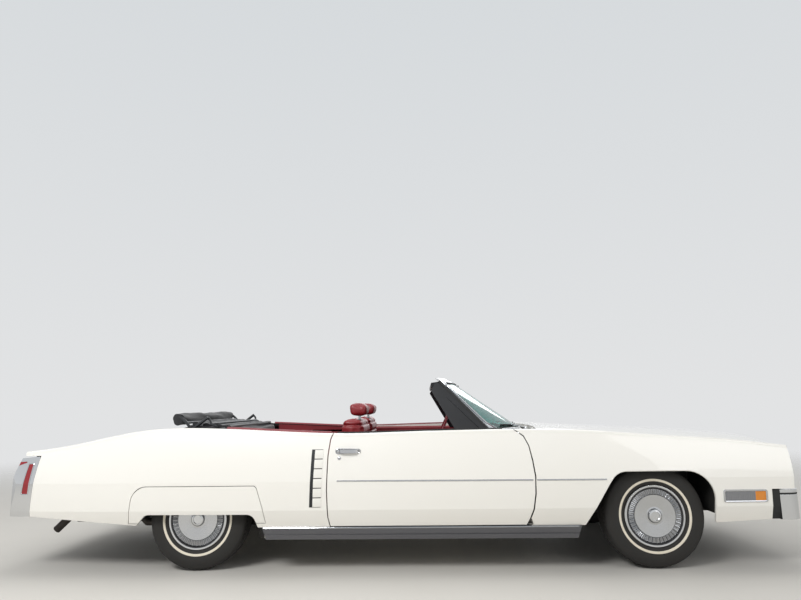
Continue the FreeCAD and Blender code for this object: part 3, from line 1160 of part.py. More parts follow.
pipes.append(rod(tail_pipe[0], tail_pipe[1], PIPE_R))
pipes.append(Part.makeSphere(PIPE_R, V(*tail_pipe[1])))
pipes.append(rod(tail_pipe[1], tail_pipe[2], PIPE_R))
block_side = box(1300.0, 2010.0, -120.0 - SEAT_GAP, 300.0, 300.0, 700.0)
save("exhaust", join(pipes).cut(block_side))
tank = box(-2500.0, -2010.0, -450.0, 450.0, 262.0, BOOT_Z - FLOOR_THICK)
save(
    "fuel_tank",
    tank.makeFillet(30.0, [e for e in tank.Edges if abs(e.tangentAt(e.FirstParameter).z) > 0.9])
)
STUB_R = 22.0
AXLE_TUBE_R = 34.0
SPRING_Y = (REAR_RAIL_Y0 + REAR_RAIL_Y1) / 2
LINK_HALF = 20.0
beam = rod((REAR_AXLE, -640.0, AXLE_Z - 20.0), (REAR_AXLE, 640.0, AXLE_Z - 20.0), AXLE_TUBE_R)
rear_parts = [beam]
for side in (1.0, -1.0):
    rear_parts.append(rod((REAR_AXLE, side * 620.0, AXLE_Z), (REAR_AXLE, side * 668.0, AXLE_Z), 60.0))
    rear_parts.append(
        rod((REAR_AXLE, side * 660.0, AXLE_Z), (REAR_AXLE, side * (WHEEL_Y + 40.0), AXLE_Z), STUB_R)
    )
    link_y0 = side * SPRING_Y - LINK_HALF
    link_y1 = side * SPRING_Y + LINK_HALF
    rear_parts.append(box(REAR_AXLE - 20.0, -1112.0, link_y0, link_y1, 310.0, 350.0))
    rear_parts.append(box(-1152.0, -1112.0, link_y0, link_y1, 310.0, 410.0 - SEAT_GAP))
    rear_parts.append(Part.makeCylinder(48.0, 61.0 - SEAT_GAP, V(REAR_AXLE - 60.0, side * SPRING_Y, 349.0)))
    rear_parts.append(box(REAR_AXLE - 120.0, REAR_AXLE, link_y0, link_y1, 310.0, 350.0))
save("rear_axle", join(rear_parts))

# Front suspension and half shafts
PIVOT_Y = WHEEL_Y - 134.0
BALL_R = 9.0
LOW_ARM_Z = 216.0
TOP_ARM_Z = 500.0
ARM_THICK = 24.0
side_parts = []
for arm_z in (LOW_ARM_Z, TOP_ARM_Z):
    side_parts.append(plan_prism([
        (FRONT_AXLE - 120.0, FRONT_RAIL_Y1 - 2.0), (FRONT_AXLE + 120.0, FRONT_RAIL_Y1 - 2.0),
        (FRONT_AXLE + 18.0, PIVOT_Y + 12.0, 8.0), (FRONT_AXLE - 18.0, PIVOT_Y + 12.0, 8.0),
    ], arm_z, arm_z + ARM_THICK))
    side_parts.append(
        box(
            FRONT_AXLE - 120.0, FRONT_AXLE + 120.0, FRONT_RAIL_Y0 + 10.0, FRONT_RAIL_Y1, arm_z,
            arm_z + ARM_THICK
        )
    )
side_parts.append(
    box(FRONT_AXLE - 120.0, FRONT_AXLE - 60.0, FRONT_RAIL_Y0 + 10.0, FRONT_RAIL_Y1, LOW_ARM_Z, 312.0)
)
side_parts.append(
    box(FRONT_AXLE + 60.0, FRONT_AXLE + 120.0, FRONT_RAIL_Y0 + 10.0, FRONT_RAIL_Y1, LOW_ARM_Z, 312.0)
)
side_parts.append(
    box(
        FRONT_AXLE - 120.0, FRONT_AXLE + 120.0, FRONT_RAIL_Y0 + 10.0, FRONT_RAIL_Y1 - 20.0, 398.0,
        TOP_ARM_Z + 2.0
    )
)
side_parts.append(Part.makeCylinder(BALL_R, 60.0, V(FRONT_AXLE, PIVOT_Y, LOW_ARM_Z + 4.0)))
side_parts.append(Part.makeCylinder(BALL_R, 60.0, V(FRONT_AXLE, PIVOT_Y, TOP_ARM_Z - 40.0)))
front_side = join(side_parts)
front_side = front_side.cut(front_half)
front_side = front_side.cut(frame_half)
save("front_suspension", group([front_side, flip(front_side)]))

# Steering knuckles
knuckle = box(
    FRONT_AXLE - 24.0, FRONT_AXLE + 24.0, PIVOT_Y - 22.0, PIVOT_Y + 18.0, LOW_ARM_Z + ARM_THICK + 2.0,
    TOP_ARM_Z - 2.0
)
knuckle = knuckle.fuse(rod((FRONT_AXLE, PIVOT_Y - 14.0, AXLE_Z), (FRONT_AXLE, PIVOT_Y + 28.0, AXLE_Z), 58.0))
knuckle = knuckle.fuse(rod((FRONT_AXLE, PIVOT_Y, AXLE_Z), (FRONT_AXLE, WHEEL_Y + 40.0, AXLE_Z), STUB_R))
knuckle = knuckle.cut(Part.makeCylinder(BALL_R + RUN, 80.0, V(FRONT_AXLE, PIVOT_Y, LOW_ARM_Z)))
knuckle = knuckle.cut(Part.makeCylinder(BALL_R + RUN, 80.0, V(FRONT_AXLE, PIVOT_Y, TOP_ARM_Z - 44.0)))
save("knuckle_left", knuckle)
save("knuckle_right", flip(knuckle))

# Wheels and tyres
half_tread = TYRE_WIDTH / 2
COVER_R = 208.0
tyre_section = [
    (RIM_RADIUS, -84.0), (RIM_RADIUS + 22.0, -100.0, 14.0), (RIM_RADIUS + 88.0, -half_tread, 60.0),
    (TYRE_RADIUS - 10.0, -96.0, 18.0), (TYRE_RADIUS, -60.0, 60.0), (TYRE_RADIUS, 60.0, 60.0),
    (TYRE_RADIUS - 10.0, 96.0, 18.0),
    (RIM_RADIUS + 88.0, half_tread, 60.0), (RIM_RADIUS + 22.0, 100.0, 14.0), (RIM_RADIUS, 84.0),
]
rim_section = [
    (RIM_RADIUS - SEAT_GAP, -84.0), (RIM_RADIUS + 8.0, -90.6), (RIM_RADIUS + 8.0, -95.0),
    (RIM_RADIUS - 12.0, -91.0),
    (RIM_RADIUS - 22.0, 0.0), (RIM_RADIUS - 20.0, 46.0), (60.0, 30.0), (60.0, 18.0),
    (STUB_R + RUN, 18.0), (STUB_R + RUN, 60.0),
    (50.0, 60.0), (COVER_R - 30.0, 78.0), (RIM_RADIUS - SEAT_GAP, 84.0),
]
cover_section = [
    (0.0, 56.0), (52.0, 56.0), (120.0, 66.0), (COVER_R - 34.0, 74.0), (COVER_R - 20.0, 92.0),
    (COVER_R - 4.0, 101.0), (COVER_R, 104.0), (COVER_R - 4.0, 108.0, 2.0),
    (COVER_R - 24.0, 106.0), (COVER_R - 30.0, 98.0), (146.0, 98.0), (143.0, 104.0), (60.0, 96.0),
    (49.0, 98.0),
    (46.0, 108.0, 4.0), (30.0, 112.0), (28.0, 106.0), (0.0, 106.0),
]
RIB_COUNT = 40
for axle_name, axle_x in (("front", FRONT_AXLE), ("rear", REAR_AXLE)):
    tyre = turned(tyre_section, axle_x, WHEEL_Y, AXLE_Z)
    rim = turned(rim_section, axle_x, WHEEL_Y, AXLE_Z)
    cover = turned(cover_section, axle_x, WHEEL_Y, AXLE_Z)
    ribs = []
    for i in range(RIB_COUNT):
        rib = box(axle_x - 2.0, axle_x + 2.0, WHEEL_Y + 96.0, WHEEL_Y + 103.0, AXLE_Z + 144.0, AXLE_Z + 180.0)
        rib.rotate(V(axle_x, WHEEL_Y, AXLE_Z), V(0, 1, 0), 360.0 * i / RIB_COUNT)
        ribs.append(rib)
    wheel = rim.fuse([cover] + ribs)
    save("tyre_" + axle_name + "_left", tyre)
    save("tyre_" + axle_name + "_right", flip(tyre))
    save("wheel_" + axle_name + "_left", wheel)
    save("wheel_" + axle_name + "_right", flip(wheel))
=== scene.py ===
"""Studio scene of a full-size two-door convertible car with its top folded."""
import logging
import math
from dataclasses import dataclass, field, replace
from enum import Enum
from typing import Callable, Optional, Sequence

import bmesh
import bpy
from mathutils import Matrix, Vector, noise


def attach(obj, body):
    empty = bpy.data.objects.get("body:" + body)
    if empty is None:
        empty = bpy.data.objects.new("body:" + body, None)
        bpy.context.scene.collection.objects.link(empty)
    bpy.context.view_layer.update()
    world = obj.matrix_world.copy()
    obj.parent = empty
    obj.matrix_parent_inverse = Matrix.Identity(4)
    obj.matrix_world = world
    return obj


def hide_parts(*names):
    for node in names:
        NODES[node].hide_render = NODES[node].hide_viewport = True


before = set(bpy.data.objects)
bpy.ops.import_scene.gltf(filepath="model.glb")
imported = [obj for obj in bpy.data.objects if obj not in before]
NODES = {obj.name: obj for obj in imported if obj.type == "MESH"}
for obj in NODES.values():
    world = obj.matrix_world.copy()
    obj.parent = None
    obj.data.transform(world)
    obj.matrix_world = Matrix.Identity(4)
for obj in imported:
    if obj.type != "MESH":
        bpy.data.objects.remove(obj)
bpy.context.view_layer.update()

log = logging.getLogger("convertible")
Colour = tuple[float, float, float, float]
Place = tuple[float, float, float]
Flat = tuple[float, float]
Tree = bpy.types.NodeTree
Socket = bpy.types.NodeSocket
WAVE_UNIT = 6.28
# Tan mix low on the body, road dust and painted shade of the lower body: where it starts and where it is full
LOW_DUST_AND_SHADE_HEIGHTS = (0.42, 0.2)
LOW_DUST_AND_SHADE_SHARE = 0.5
BLACK, WHITE = (0, 0, 0, 1), (1, 1, 1, 1)


def linear(code: str) -> Colour:
    """Turns an sRGB hex colour into linear light.

    Args:
        code: six hex digits after a hash sign.
    Returns:
        Linear red, green, blue and an alpha of one.
    """
    parts = [int(code[i:i + 2], 16) / 255 for i in (1, 3, 5)]
    lit = [c / 12.92 if c <= 0.04045 else ((c + 0.055) / 1.055) ** 2.4 for c in parts]
    return (lit[0], lit[1], lit[2], 1.0)


def put(tree: Tree, kind: str, settings: Optional[dict] = None,
        inputs: Optional[dict] = None) -> bpy.types.Node:
    """Adds one node with its settings and links.

    Args:
        tree: the material's or world's node tree.
        kind: the node's type name.
        settings: attribute values of the node.
        inputs: socket name or number to a value, or to an output socket to link.
    Returns:
        The new node.
    """
    node = tree.nodes.new(kind)
    for name, value in (settings or {}).items():
        setattr(node, name, value)
    for name, value in (inputs or {}).items():
        if isinstance(value, bpy.types.NodeSocket):
            tree.links.new(value, node.inputs[name])
        else:
            node.inputs[name].default_value = value
    return node


def calc(tree: Tree, operation: str, *values: float | Socket) -> Socket:
    """Adds a maths node and returns its result."""
    return put(tree, "ShaderNodeMath", {"operation": operation}, dict(enumerate(values))).outputs[0]


def mix(tree: Tree, share: float | Socket, first: Colour | Socket, second: Colour | Socket) -> Socket:
    """Adds a mix of two colours and returns its result."""
    return put(tree, "ShaderNodeMix", {"data_type": "RGBA"}, {0: share, 6: first, 7: second}).outputs[2]


def part(tree: Tree, place: Socket, letter: str) -> Socket:
    """Splits a vector and returns its X, Y or Z."""
    return put(tree, "ShaderNodeSeparateXYZ", inputs={0: place}).outputs[letter]


def wave(tree: Tree, place: Socket, direction: str, scale: float) -> Socket:
    """Adds straight waves and returns their height."""
    return put(tree, "ShaderNodeTexWave", {"bands_direction": direction},
               {"Vector": place, "Scale": scale / WAVE_UNIT}).outputs["Fac"]


def ramp(tree: Tree, value: Socket, stops: Sequence[tuple[float, Colour]], hard: bool = False) -> Socket:
    """Adds a colour ramp.

    Args:
        tree: the material's or world's nodes.
        value: the place on the ramp.
        stops: (place, colour) of each stop.
        hard: whether a colour holds up to the next stop.
    Returns:
        The ramp's colour.
    """
    node = put(tree, "ShaderNodeValToRGB", inputs={0: value})
    elements = node.color_ramp.elements
    elements.remove(elements[1])
    elements[0].position, elements[0].color = stops[0]
    for place, colour in stops[1:]:
        elements.new(place).color = colour
    if hard:
        node.color_ramp.interpolation = "CONSTANT"
    return node.outputs["Color"]


class Relief(Enum):
    """Surface texture that a finish can have."""

    SMOOTH = "none"
    PEEL = "soft ripple of sprayed lacquer"
    DRAWN = "fine lines drawn along the car"
    HIDE = "pebbled hide"
    CAST = "fine moulded or cast grain"
    CLOTH = "coated cloth weave"
    PILE = "tufts of carpet pile"
    FLUTES = "upright flutes of pressed glass that faces along the car"
    SIDE_FLUTES = "upright flutes of a lens that faces sideways"


@dataclass(frozen=True)
class Finish:
    """A real material and how its surface was made; lengths in millimetres."""

    name: str
    colour: str
    slot: str
    second: str = ""
    patch: float = 260.0
    metallic: float = 0.0
    roughness: float = 0.5
    rough_swing: float = 0.06
    coat: float = 0.0
    coat_roughness: float = 0.04
    sheen: float = 0.0
    ior: float = 1.5
    clear: float = 0.0
    relief: Relief = Relief.SMOOTH
    grain: float = 1.0
    depth: float = 0.05
    edge: float = 0.0
    low_dust_and_shade: str = ""
    undercoat: str = ""

    def fixed(self) -> dict:
        """Shader values that don't change over the surface."""
        values = {"Base Color": linear(self.colour), "Metallic": self.metallic, "Roughness": self.roughness}
        if self.coat:
            values.update({"Coat Weight": self.coat, "Coat Roughness": self.coat_roughness})
        if self.sheen:
            values.update({"Sheen Weight": self.sheen, "Sheen Roughness": 0.4})
        if not self.metallic:
            values["IOR"] = self.ior
        if self.clear:
            values["Transmission Weight"] = self.clear
        return values

    def material(self) -> bpy.types.Material:
        """Builds the material on first use.

        Returns:
            The Blender material of this finish.
        """
        made = bpy.data.materials.get(self.name)
        if made:
            return made
        made = bpy.data.materials.new(self.name)
        made.use_nodes = True
        tree = made.node_tree
        tree.nodes.clear()
        place = put(tree, "ShaderNodeTexCoord").outputs["Object"]
        shader = put(tree, "ShaderNodeBsdfPrincipled", inputs=self.fixed())
        cloud = put(tree, "ShaderNodeTexNoise", inputs={
            "Vector": place, "Scale": 1000 / self.patch, "Detail": 4.0}).outputs["Fac"]
        if self.second:
            self.tone(tree, place, cloud, shader)
        if self.rough_swing:
            low, high = max(0.0, self.roughness - self.rough_swing), self.roughness + self.rough_swing
            swing = put(tree, "ShaderNodeMapRange", inputs={
                "Value": cloud, "From Min": 0.3, "From Max": 0.7, "To Min": low, "To Max": high})
            tree.links.new(swing.outputs[0], shader.inputs["Roughness"])
        self.normals(tree, place, shader)
        put(tree, "ShaderNodeOutputMaterial", inputs={"Surface": shader.outputs[0]})
        return made

    def tone(self, tree: Tree, place: Socket, cloud: Socket, shader: bpy.types.Node) -> None:
        """Varies the colour: two tones, a tan darkening low down that is road dust and painted shade of the
        lower body, undercoat on inner faces.

        Args:
            tree: the material's nodes.
            place: the object coordinates.
            cloud: the noise that mixes the tones.
            shader: the shader that takes the colour.
        """
        colour = mix(tree, cloud, linear(self.colour), linear(self.second))
        # Painted shade: the tan mix low on the body stands for the lower body's shade and the ground's
        # reflection, with road dust
        if self.low_dust_and_shade:
            start, full = LOW_DUST_AND_SHADE_HEIGHTS
            low = put(tree, "ShaderNodeMapRange", inputs={
                "Value": part(tree, place, "Z"), "From Min": start, "From Max": full,
                "To Min": 0.0, "To Max": LOW_DUST_AND_SHADE_SHARE}).outputs[0]
            colour = mix(tree, calc(tree, "MULTIPLY", low, cloud), colour, linear(self.low_dust_and_shade))
        if self.undercoat:
            inward = self.inward(tree, place)
            colour = mix(tree, inward, colour, linear(self.undercoat))
            tree.links.new(calc(tree, "SUBTRACT", 1.0, inward), shader.inputs["Coat Weight"])
        tree.links.new(colour, shader.inputs["Base Color"])

    def normals(self, tree: Tree, place: Socket, shader: bpy.types.Node) -> None:
        """Adds the softened edges and the relief.

        Args:
            tree: the material's nodes.
            place: the object coordinates.
            shader: the shader that takes the normal.
        """
        normal = None
        if self.edge:
            normal = put(tree, "ShaderNodeBevel", {"samples": 4}, {"Radius": self.edge / 1000}).outputs[0]
        height = self.height_field(tree, place)
        if height is not None:
            inputs = {"Height": height, "Distance": self.depth / 1000, "Strength": 1.0}
            if normal is not None:
                inputs["Normal"] = normal
            normal = put(tree, "ShaderNodeBump", inputs=inputs).outputs[0]
        if normal is not None:
            tree.links.new(normal, shader.inputs["Normal"])

    def inward(self, tree: Tree, place: Socket) -> Socket:
        """Finds the faces that look into the body or down.

        Args:
            tree: the material's nodes.
            place: the object coordinates.
        Returns:
            A socket that is one on such faces and zero elsewhere.
        """
        turn = put(tree, "ShaderNodeTexCoord").outputs["Normal"]
        out = calc(tree, "MULTIPLY", part(tree, turn, "Y"), calc(tree, "SIGN", part(tree, place, "Y")))
        inner = calc(tree, "LESS_THAN", out, -0.15)
        under = calc(tree, "LESS_THAN", part(tree, turn, "Z"), -0.8)
        return calc(tree, "MAXIMUM", inner, under)

    def height_field(self, tree: Tree, place: Socket) -> Optional[Socket]:
        """Adds the nodes of this finish's relief.

        Args:
            tree: the material's nodes.
            place: the object coordinates.
        Returns:
            The height socket, or None for a smooth surface.
        """
        scale = 1000 / self.grain
        if self.relief is Relief.SMOOTH:
            return None
        if self.relief is Relief.HIDE:
            cells = put(tree, "ShaderNodeTexVoronoi", {"feature": "SMOOTH_F1"}, {
                "Vector": place, "Scale": scale})
            return cells.outputs["Distance"]
        if self.relief is Relief.CLOTH:
            return calc(tree, "MULTIPLY", wave(tree, place, "X", scale), wave(tree, place, "Y", scale))
        if self.relief in (Relief.FLUTES, Relief.SIDE_FLUTES):
            return wave(tree, place, "Y" if self.relief is Relief.FLUTES else "X", scale)
        if self.relief is Relief.DRAWN:
            place = put(tree, "ShaderNodeMapping", inputs={
                "Vector": place, "Scale": (0.02, 1.0, 1.0)}).outputs[0]
        detail = {Relief.PEEL: 1.0, Relief.CAST: 5.0, Relief.PILE: 2.0, Relief.DRAWN: 2.0}[self.relief]
        grain = put(tree, "ShaderNodeTexNoise", inputs={"Vector": place, "Scale": scale, "Detail": detail})
        return grain.outputs["Fac"]


# Acrylic lacquer on sheet steel, sprayed and polished: even gloss with a faint ripple, darker tan low down as
# road dust and painted shade of the lower body
PAINT = Finish("acrylic_lacquer_white_sprayed", "#F5F3ED", "body_paint", "#F1EEE6", 900.0, roughness=0.32,
               rough_swing=0.03, coat=1.0, relief=Relief.PEEL, grain=9.0, depth=0.012, edge=3.0,
               low_dust_and_shade="#B9AC98")
# The same lacquer on panels whose inner faces carry black bitumen undercoat
COATED_PAINT = replace(PAINT, name="acrylic_lacquer_white_undercoated", undercoat="#1A1A1A")
# Bitumen undercoat, sprayed thick on the inner structure: dull black, orange-peel rough
UNDERCOAT = Finish("bitumen_undercoat_sprayed", "#1E1E1E", "inner_paint", "#2A2825", 120.0, roughness=0.7,
                   relief=Relief.CAST, grain=5.0, depth=0.15, edge=2.0)
# The same lacquer inside the body, unpolished: flatter and less even
INNER_PAINT = Finish("acrylic_lacquer_white_unpolished", "#D9D6CE", "inner_paint", "#C9C5BB", 180.0,
                     roughness=0.55, relief=Relief.CAST, grain=3.0, depth=0.03, edge=2.0)
# Black enamel on pressed steel, dipped: dull with road dust
CHASSIS_BLACK = Finish("black_enamel_dipped", "#1D1D1E", "frame_paint", "#34302B", 90.0, roughness=0.62,
                       relief=Relief.CAST, grain=4.0, depth=0.08, edge=2.0)
# Bright chromium over nickel on steel, buffed: near mirror with a slight cloudiness
CHROME = Finish("chromium_plate_buffed", "#DEDFE0", "bumper_chrome", "#D8D9DB", 260.0, metallic=1.0,
                roughness=0.07, rough_swing=0.02, relief=Relief.PEEL, grain=60.0, depth=0.05, edge=3.0)
# Die-cast zinc under chromium, for small trim: bright, softer corners
TRIM_CHROME = Finish("chromium_plate_diecast", "#D2D3D5", "bright_trim", "#BFC1C4", 30.0, metallic=1.0,
                     roughness=0.14, rough_swing=0.05, edge=1.0)
# Anodised aluminium moulding, drawn and brushed along its length
BRUSHED = Finish("aluminium_anodised_brushed", "#B9BABB", "bright_trim", "#A2A3A4", 60.0, metallic=1.0,
                 roughness=0.3, relief=Relief.DRAWN, grain=0.8, depth=0.05, edge=1.0)
# Anodised aluminium rocker panel, satin and greyer: the darker grey is a painted reflection of the shaded
# ground below
ROCKER = Finish("aluminium_anodised_ground_reflection", "#6C6C6F", "bright_trim", "#636366", 400.0, metallic=1.0,
                roughness=0.38, relief=Relief.DRAWN, grain=0.8, depth=0.05, edge=1.0)
# Spun stainless steel of the wheel covers, brushed in rings
STEEL = Finish("stainless_steel_spun", "#B4B5B6", "wheel_steel", "#A9AAAC", 150.0, metallic=1.0,
               roughness=0.2, rough_swing=0.02)
# Extruded black rubber: matt with fine pores
RUBBER = Finish("epdm_rubber_extruded", "#191A1B", "filler_rubber", "#242423", 40.0, roughness=0.68,
                relief=Relief.CAST, grain=1.5, depth=0.05)
# Tyre tread compound, moulded: dull grey-black with dust
TYRE = Finish("tyre_rubber_moulded", "#1C1C1C", "tyre_rubber", "#2E2B27", 35.0, roughness=0.78,
              relief=Relief.CAST, grain=2.0, depth=0.12)
# White sidewall rubber, buffed: chalky, a little yellowed
WHITEWALL = Finish("white_rubber_buffed", "#E9E2D2", "tyre_rubber", "#D6CCB8", 30.0, roughness=0.6,
                   relief=Relief.CAST, grain=1.5, depth=0.04)
# Laminated windscreen glass with a green-blue tint, floated
TINTED_GLASS = Finish("laminated_glass_tinted", "#8FC2BC", "tinted_glass", roughness=0.0, rough_swing=0.0,
                      clear=1.0, ior=1.5)
# Pressed headlamp glass: clear with upright flutes about 7 mm apart
LAMP_GLASS = Finish("borosilicate_glass_pressed", "#F2F6F7", "lamp_glass", roughness=0.03, rough_swing=0.0,
                    clear=1.0, relief=Relief.FLUTES, grain=7.0, depth=0.5)
# Aluminised reflector inside the lamps
REFLECTOR = Finish("aluminised_reflector", "#E4E6E8", "lamp_glass", metallic=1.0, roughness=0.12,
                   rough_swing=0.02)
# Moulded acrylic lenses; the flutes are about 5 mm apart
RED_LENS = Finish("acrylic_red_moulded", "#98101A", "red_lens", "#860B15", 30.0, roughness=0.12,
                  rough_swing=0.02, coat=0.6, relief=Relief.FLUTES, grain=5.0, depth=0.3)
AMBER_LENS = Finish("acrylic_amber_moulded", "#E8912A", "amber_lens", "#D67C18", 30.0, roughness=0.14,
                    rough_swing=0.02, coat=0.6, relief=Relief.SIDE_FLUTES, grain=5.0, depth=0.6)
CLEAR_LENS = Finish("acrylic_clear_over_reflector", "#8C8D90", "clear_lens", "#7C7D81", 26.0, metallic=0.4,
                    roughness=0.2, rough_swing=0.04, coat=0.8, relief=Relief.SIDE_FLUTES, grain=6.0,
                    depth=0.8)
# Chrome-tanned hide, dyed and pigmented red; grain about 1.6 mm, drawn a little coarse
LEATHER = Finish("hide_red_pigmented", "#8F1E25", "seat_leather", "#7E171E", 140.0, roughness=0.42,
                 rough_swing=0.06, coat=0.2, coat_roughness=0.28, relief=Relief.HIDE, grain=2.4, depth=0.25)
# PVC skin over foam with an embossed grain
RED_VINYL = Finish("pvc_skin_red_embossed", "#84202A", "door_leather", "#741820", 200.0, roughness=0.48,
                   relief=Relief.HIDE, grain=2.0, depth=0.15, edge=2.0)
DASH_VINYL = Finish("pvc_skin_dark_red_embossed", "#5A1A20", "dash_vinyl", "#4B1419", 200.0, roughness=0.55,
                    relief=Relief.HIDE, grain=2.0, depth=0.2, edge=4.0)
# Cut nylon pile, tufted: soft and uneven
CARPET = Finish("nylon_pile_red_tufted", "#6A1A20", "floor_paint", "#551318", 60.0, roughness=0.95,
                sheen=0.4, relief=Relief.PILE, grain=3.5, depth=1.2)
# Needled felt of the boot mat: grey, fuzzy and even
FELT = Finish("felt_grey_needled", "#55534F", "floor_paint", "#4A4845", 90.0, roughness=0.95, sheen=0.3,
              relief=Relief.PILE, grain=2.5, depth=0.6)
# Black coated cloth of the folded top; weave drawn at 3 mm to show
TOP_CLOTH = Finish("coated_cloth_black_woven", "#1A1B1D", "top_cloth", "#26272A", 120.0, roughness=0.7,
                   sheen=0.25, relief=Relief.CLOTH, grain=3.0, depth=0.25)
# Satin black ABS mouldings
BLACK_PLASTIC = Finish("abs_black_moulded", "#17181A", "pillar_trim", "#202124", 80.0, roughness=0.5,
                       relief=Relief.CAST, grain=1.2, depth=0.04, edge=2.0)
# Zinc-plated steel of the folding irons, dulled
IRON = Finish("zinc_plated_steel_dulled", "#4A4C4E", "iron_paint", "#37383A", 40.0, metallic=0.8,
              roughness=0.45, edge=2.0)
# Cast iron block under dark blue engine enamel
ENGINE_ENAMEL = Finish("engine_enamel_brushed_on", "#27456B", "engine_paint", "#1F3753", 60.0,
                       roughness=0.45, relief=Relief.CAST, grain=5.0, depth=0.3, edge=4.0)
# Aluminised steel tube, drawn and welded: dull grey with soot and a little rust
EXHAUST_STEEL = Finish("aluminised_steel_sooted", "#45423F", "exhaust_steel", "#352D27", 45.0, metallic=0.6,
                       roughness=0.55, relief=Relief.CAST, grain=3.0, depth=0.15)
# Terne-coated sheet of the fuel tank
TERNE = Finish("terne_sheet_pressed", "#777A7C", "tank_steel", "#5E5F60", 90.0, metallic=0.75,
               roughness=0.5, edge=3.0)
# Forged steel of axle, arms and knuckles, oiled and dusty
FORGED = Finish("forged_steel_oiled", "#3B3733", "chassis_iron", "#4A4034", 50.0, metallic=0.6,
                roughness=0.55, relief=Relief.CAST, grain=3.0, depth=0.2, edge=3.0)
# Silvered mirror glass
MIRROR = Finish("silvered_glass", "#D9DEE0", "mirror_chrome", metallic=1.0, roughness=0.02, rough_swing=0.0)
# Stoved white enamel of blank licence plates
PLATE = Finish("stove_enamel_white", "#ECEBE4", "body_paint", "#E2E0D6", 60.0, roughness=0.35, coat=0.5,
               edge=1.0)
# Dial faces, printed matt black
DIAL = Finish("dial_face_matt", "#101113", "dash_vinyl", roughness=0.6, rough_swing=0.0)
DIAL_MARK = Finish("dial_mark_white", "#E8E8E2", "dash_vinyl", roughness=0.6, rough_swing=0.0)
# Rosewood-grain film on the dash inlay, printed
WOOD_FILM = Finish("wood_grain_film", "#4A2A1A", "dash_vinyl", "#2F1A10", 14.0, roughness=0.3, coat=0.6,
                   relief=Relief.DRAWN, grain=3.0, depth=0.05)


def span(start: float, end: float, count: int) -> list[float]:
    """Values from start to end in even steps."""
    return [start + (end - start) * i / count for i in range(count + 1)]


def ridge(half: float, foot: float, shoulder: float, crest: float) -> list[Flat]:
    """Section of a low moulding that peaks in its middle."""
    return [(-half, foot), (-half, shoulder), (0.0, crest), (half, shoulder), (half, foot)]


def flat_bar(half: float, rise: float) -> list[Flat]:
    """Section of a flat bar."""
    return [(-half, -rise), (-half, rise), (half, rise), (half, -rise)]


def oval(across: float, up: float, sides: int) -> list[Flat]:
    """Section of a round or oval bar."""
    turns = [2 * math.pi * i / sides for i in range(sides)]
    return [(across * math.cos(a), up * math.sin(a)) for a in turns]


def blend_rings(rings: Sequence[Sequence[Place]], closed: bool, caps: bool,
                hoop: bool = True) -> tuple[list, list]:
    """Skins a list of rings of equal length.

    Args:
        rings: the rings, in order.
        closed: whether the last ring joins the first.
        caps: whether the end rings are filled.
        hoop: whether each ring closes on itself.
    Returns:
        Vertices and faces.
    """
    count = len(rings[0])
    verts = [tuple(p) for ring in rings for p in ring]
    faces = []
    for i in range(len(rings) if closed else len(rings) - 1):
        a, b = i * count, ((i + 1) % len(rings)) * count
        for j in range(count if hoop else count - 1):
            k = (j + 1) % count
            faces.append((a + j, a + k, b + k, b + j))
    if caps and not closed:
        faces.append(tuple(range(count)))
        faces.append(tuple(range(len(verts) - count, len(verts))))
    return verts, faces


def corner_path(points: Sequence[tuple], step: int = 6, closed: bool = True) -> list[Flat]:
    """Rounds the corners of a flat outline.

    Args:
        points: corners as (a, b, radius).
        step: points on each rounded corner.
        closed: whether the outline is a loop.
    Returns:
        The outline's points.
    """
    out = []
    count = len(points)
    for i, (a, b, radius) in enumerate(points):
        here = Vector((a, b))
        if radius <= 0 or (not closed and i in (0, count - 1)):
            out.append((a, b))
            continue
        before = (Vector(points[i - 1][:2]) - here).normalized()
        after = (Vector(points[(i + 1) % count][:2]) - here).normalized()
        half = before.angle(after) / 2
        start, end = here + before * radius / math.tan(half), here + after * radius / math.tan(half)
        centre = here + (before + after).normalized() * radius / math.sin(half)
        p, q = start - centre, end - centre
        turn = p.angle(q)
        for k in range(step + 1):
            t = k / step
            spot = centre + (p * math.sin((1 - t) * turn) + q * math.sin(t * turn)) / math.sin(turn)
            out.append((spot.x, spot.y))
    return out


def rounded_box(a0: float, b0: float, a1: float, b1: float, radius: float) -> list[Flat]:
    """A rectangle's outline with equal round corners."""
    return corner_path([(a0, b0, radius), (a1, b0, radius), (a1, b1, radius), (a0, b1, radius)])


def dense_loop(loop: Sequence[Flat], pitch: float) -> list[Flat]:
    """Splits the long sides of a loop.

    Args:
        loop: the loop's corners.
        pitch: sides of two pitches or more are split.
    Returns:
        The loop with the new points.
    """
    dense = []
    for i, (a0, b0) in enumerate(loop):
        a1, b1 = loop[(i + 1) % len(loop)]
        count = max(1, int(math.dist((a0, b0), (a1, b1)) / pitch))
        dense += [(a0 + (a1 - a0) * k / count, b0 + (b1 - b0) * k / count) for k in range(count)]
    return dense


def cast_height(node: str, x: float, y: float, missing: float, start: float = 1.2, way: int = -1) -> float:
    """Height of a panel's face above or below a place.

    Args:
        node: the panel's node.
        x: place along the car.
        y: place across the car.
        missing: the height when no face is there.
        start: the height to look from.
        way: -1 to look down, 1 to look up.
    Returns:
        The height.
    """
    hit, spot, _, _ = NODES[node].ray_cast(Vector((x, y, start)), Vector((0, 0, way)))
    return spot.z if hit else missing


